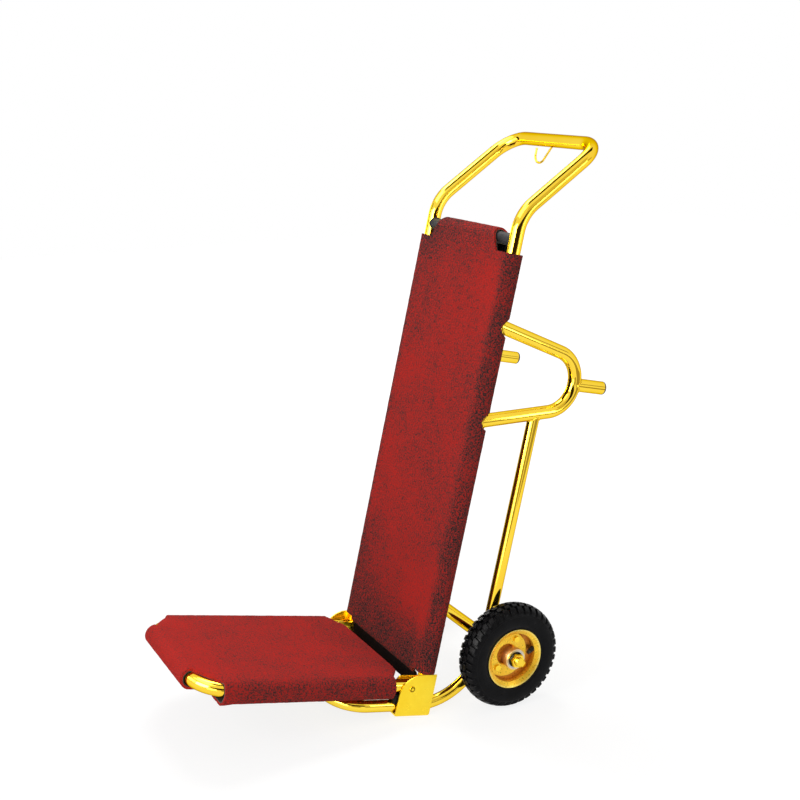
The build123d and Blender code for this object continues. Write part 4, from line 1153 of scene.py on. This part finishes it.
def tyre_parts():
    """The casing of a tyre and its rings of tread blocks."""
    profile = [(-8.0, 49.3), (-16.7, 49.3), (-18.9, 53.0), (-21.7, 57.2), (-22.4, 58.6), (-23.1, 60.0)]
    profile += [(-23.2, 60.8), (-22.9, 61.4), (-23.5, 62.6), (-24.3, 67.0), (-24.8, 72.0), (-24.9, 76.0)]
    profile += [(-24.5, 81.0), (-24.2, 82.2), (-24.5, 83.0), (-24.0, 84.4), (-23.0, 86.7), (-21.4, 89.4)]
    profile += [(-20.0, 90.6)] + [(x, crown(x) - GROOVE) for x in (-16.0, -12.0, -8.0, -4.0)]
    profile = profile + [(0.0, crown(0) - GROOVE)] + [(-x, r) for x, r in reversed(profile)]
    parts = [turned("casing", profile, 120, tyre_rubber)]
    inner, outer = [
        [(x, crown(x) - 0.05, crown(x) - GROOVE - 0.6) for x in row] for row in ((1.3, 5.0, 9.4), (11.2, 15.5, 19.8))
    ]
    outer += [(22.0, 92.7, 87.6), (23.6, 88.4, 84.6)]
    for side in (1, -1):
        for profile, lead in ((inner, 0.0), (outer, 1.0)):
            row = [(side * x, top, foot) for x, top, foot in profile]
            block = tread_block(row, lead + 0.5 * (side < 0))
            soften(bake(block, tread_tree, Count=TREAD_ROWS, Finish=tyre_rubber), 25)
            parts.append(block)
    return parts


for side, name in ((1, "left"), (-1, "right")):
    body = name + "_wheel"
    for face, piece, node in ((1, "rim_outside_", "rim_outer_"), (-1, "rim_inside_", "rim_inner_")):
        fix(on_wheel(rim_half(piece + name), side, face), body, "gold_rim", node + name)
    hub_rings = [(-24, 17.6), (-24, 19.4), (-23.4, 20.0), (25.4, 20.0), (26, 19.4), (26, 18.0), (25.6, 17.55)]
    hub_rings += [(14.5, 17.55), (14.4, 15.5), (-12.4, 15.5), (-12.5, 17.55), (-23.6, 17.55)]
    hub = turned("hub_" + name, hub_rings, 72, hub_steel)
    bared = [ease((abs(v.co.x - 1) - 24.2) / 0.6) for v in hub.data.vertices]
    set_marks(hub, "bare", bared)
    fix(on_wheel(hub, side), body, "steel", "hub_sleeve_" + name)
    for piece, node, width, finish, slot in (
        ("bolts_", "rim_bolts_", 0.45, gold, "gold_tube"),
        ("bolt_nuts_", "rim_nuts_", 0.45, gold, "gold_tube"),
        ("seals_", "bearing_seals_", 0.2, black_rubber, "black_rubber"),
        ("valve_", "valve_stem_", 0.5, black_rubber, "black_rubber"),
        ("valve_end_", "valve_cap_", 0.6, black_plastic, "black_plastic"),
    ):
        eased_copy(piece + name, node + name, width, finish, body, slot)
    paint("inner_tube_" + name, black_rubber)
    tyre = on_wheel(join("tyre_" + name + "_treaded", tyre_parts()), side)
    soften(tyre.data, 30)
    fix(tyre, body, "tyre", "tyre_" + name)

# The studio: a plain pale floor, soft light from the front and above, and a white surround.
# The camera stands where the photograph was taken.
scene = bpy.context.scene
scene.view_settings.view_transform = "Standard"


def seen_by(tree):
    """1 for what the camera sees, straight or in a reflection or through glass, and 0 for the rest."""
    ray = tree.nodes.new("ShaderNodeLightPath").outputs
    straight = maths(tree, "MAXIMUM", ray["Is Camera Ray"], ray["Is Glossy Ray"])
    return maths(tree, "MAXIMUM", straight, ray["Is Transmission Ray"])


world = bpy.data.worlds.new("studio")
scene.world = world
world.use_nodes = True
sky = world.node_tree.nodes["Background"]
sky.inputs["Color"].default_value = (1, 1, 1, 1)
strength = output(world.node_tree, "ShaderNodeMapRange", Value=seen_by(world.node_tree), To_Min=0.52, To_Max=1.0)
world.node_tree.links.new(strength, sky.inputs["Strength"])


def empty_finish(name):
    """A new material without a shader: the material, its tree and the place of its shader."""
    made = bpy.data.materials.new(name)
    made.use_nodes = True
    tree = made.node_tree
    tree.nodes.remove(tree.nodes["Principled BSDF"])
    return made, tree, tree.nodes["Material Output"].inputs["Surface"]


floor_white, tree, surface = empty_finish("pale floor")
plain = output(tree, "ShaderNodeBsdfDiffuse", Color=(0.82, 0.82, 0.82, 1))
shaded = output(tree, "ShaderNodeBsdfDiffuse", Color=(0.20, 0.20, 0.20, 1))
place = tree.nodes.new("ShaderNodeTexCoord").outputs["Object"]
away = maths(tree, "LENGTH", place, kind="ShaderNodeVectorMath")
fade = output(tree, "ShaderNodeMapRange", Value=away, From_Min=0.6, From_Max=2.4, To_Min=0.84, To_Max=1.0)
glow = output(tree, "ShaderNodeEmission", Color=(1, 1, 1, 1), Strength=fade)
lit = tree.nodes.new("ShaderNodeAddShader")
tree.links.new(shaded, lit.inputs[0])
tree.links.new(glow, lit.inputs[1])
choice = add_node(tree, "ShaderNodeMixShader", Fac=seen_by(tree))
tree.links.new(plain, choice.inputs[1])
tree.links.new(lit.outputs[0], choice.inputs[2])
tree.links.new(choice.outputs[0], surface)
floor = new_piece("floor", [(-6, -6, 0), (6, -6, 0), (6, 6, 0), (-6, 6, 0)], faces=[(0, 1, 2, 3)])
floor.data.materials.append(floor_white)


def board(name, colour, strength=1.0):
    """The finish of a board that shows in reflections as one shade."""
    made, tree, surface = empty_finish(name)
    tree.links.new(output(tree, "ShaderNodeEmission", Color=(*colour, 1), Strength=strength), surface)
    return made


flag_black = board("black board", (0.03, 0.018, 0.008))
flag_brown = board("brown board", (0.42, 0.36, 0.28))
flag_tan = board("tan board", (0.72, 0.66, 0.48))
flag_bright = board("lit board", (1.0, 0.98, 0.94), 15.0)
flag_pale = board("pale board", (1.0, 0.96, 0.94), 5.0)
SET_MIDDLE = Vector((0, 0, 0.5))


def flag(name, middle, width, height, finish=flag_black):
    """A board beside the set that only reflections show."""
    middle = Vector(middle)
    facing = (SET_MIDDLE - middle).normalized()
    side = facing.cross(Vector((0, 0, 1))).normalized()
    rise = side.cross(facing)
    side, rise = side * width / 2, rise * height / 2
    corners = (-side - rise, side - rise, side + rise, rise - side)
    made = new_piece(name, [middle + corner for corner in corners], faces=[(0, 1, 2, 3)])
    made.data.materials.append(finish)
    made.visible_camera = made.visible_diffuse = made.visible_shadow = made.visible_transmission = False


flag("flag_camera", (2.1, -0.6, 1.12), 2.8, 0.9)
flag("flag_front", (-1.63, -1.70, 0.9), 0.5, 2.6)
flag("flag_key", (0.62, -2.02, 1.22), 1.3, 1.3, flag_bright)
flag("flag_far", (-2.40, 0.20, 0.86), 0.9, 0.5, flag_bright)
flag("flag_above", (0.3, 0.0, 2.78), 3.0, 0.7)
flag("flag_side", (2.4, 1.75, 1.25), 2.6, 0.40, flag_brown)
flag("flag_low", (1.25, 0.95, 0.15), 1.6, 0.46, flag_brown)
flag("flag_front_above", (-0.1, -1.0, 2.6), 2.0, 1.2, flag_pale)
flag("flag_strut", (1.85, -0.50, 0.27), 0.9, 0.54, flag_brown)
flag("flag_strut_light", (1.34, -1.57, 0.36), 0.8, 0.6, flag_pale)
flag("flag_upright_light", (-0.60, -2.0, 1.25), 1.15, 0.9, flag_pale)
flag("flag_high", (2.25, 0.55, 1.95), 1.4, 1.3, flag_tan)


def lamp(name, place, aim, width, height, power):
    """A soft box lamp."""
    light = bpy.data.lights.new(name, "AREA")
    light.shape = "RECTANGLE"
    light.size = width
    light.size_y = height
    light.energy = power
    made = bpy.data.objects.new(name, light)
    made.location = place
    made.rotation_euler = (Vector(aim) - Vector(place)).to_track_quat("-Z", "Y").to_euler()
    scene.collection.objects.link(made)


lamp("key", (0.75, -2.15, 1.25), (0, 0.05, 0.5), 0.6, 1.5, 18)
lamp("top", (-0.95, 0.2, 2.63), (0, 0.25, 1.0), 1.2, 1.0, 36)
lamp("side", (2.3, 1.7, 0.72), (0.15, 0.3, 0.5), 0.22, 1.1, 6)

camera = bpy.data.objects.new("camera", bpy.data.cameras.new("camera"))
camera.data.sensor_width = 36.0
camera.data.lens = 55.70
camera.data.clip_start = 0.05
camera.data.clip_end = 50.0
right = Vector((0.4769, 0.8790, 0.0)).normalized()
forward = Vector((-0.8494, 0.4608, -0.2575)).normalized()
rise = right.cross(forward)
turn = Matrix((right, rise, -forward)).transposed().to_4x4()
camera.matrix_world = Matrix.Translation((1.940, -0.9937, 1.1474)) @ turn
scene.collection.objects.link(camera)
scene.camera = camera

bpy.context.view_layer.update()
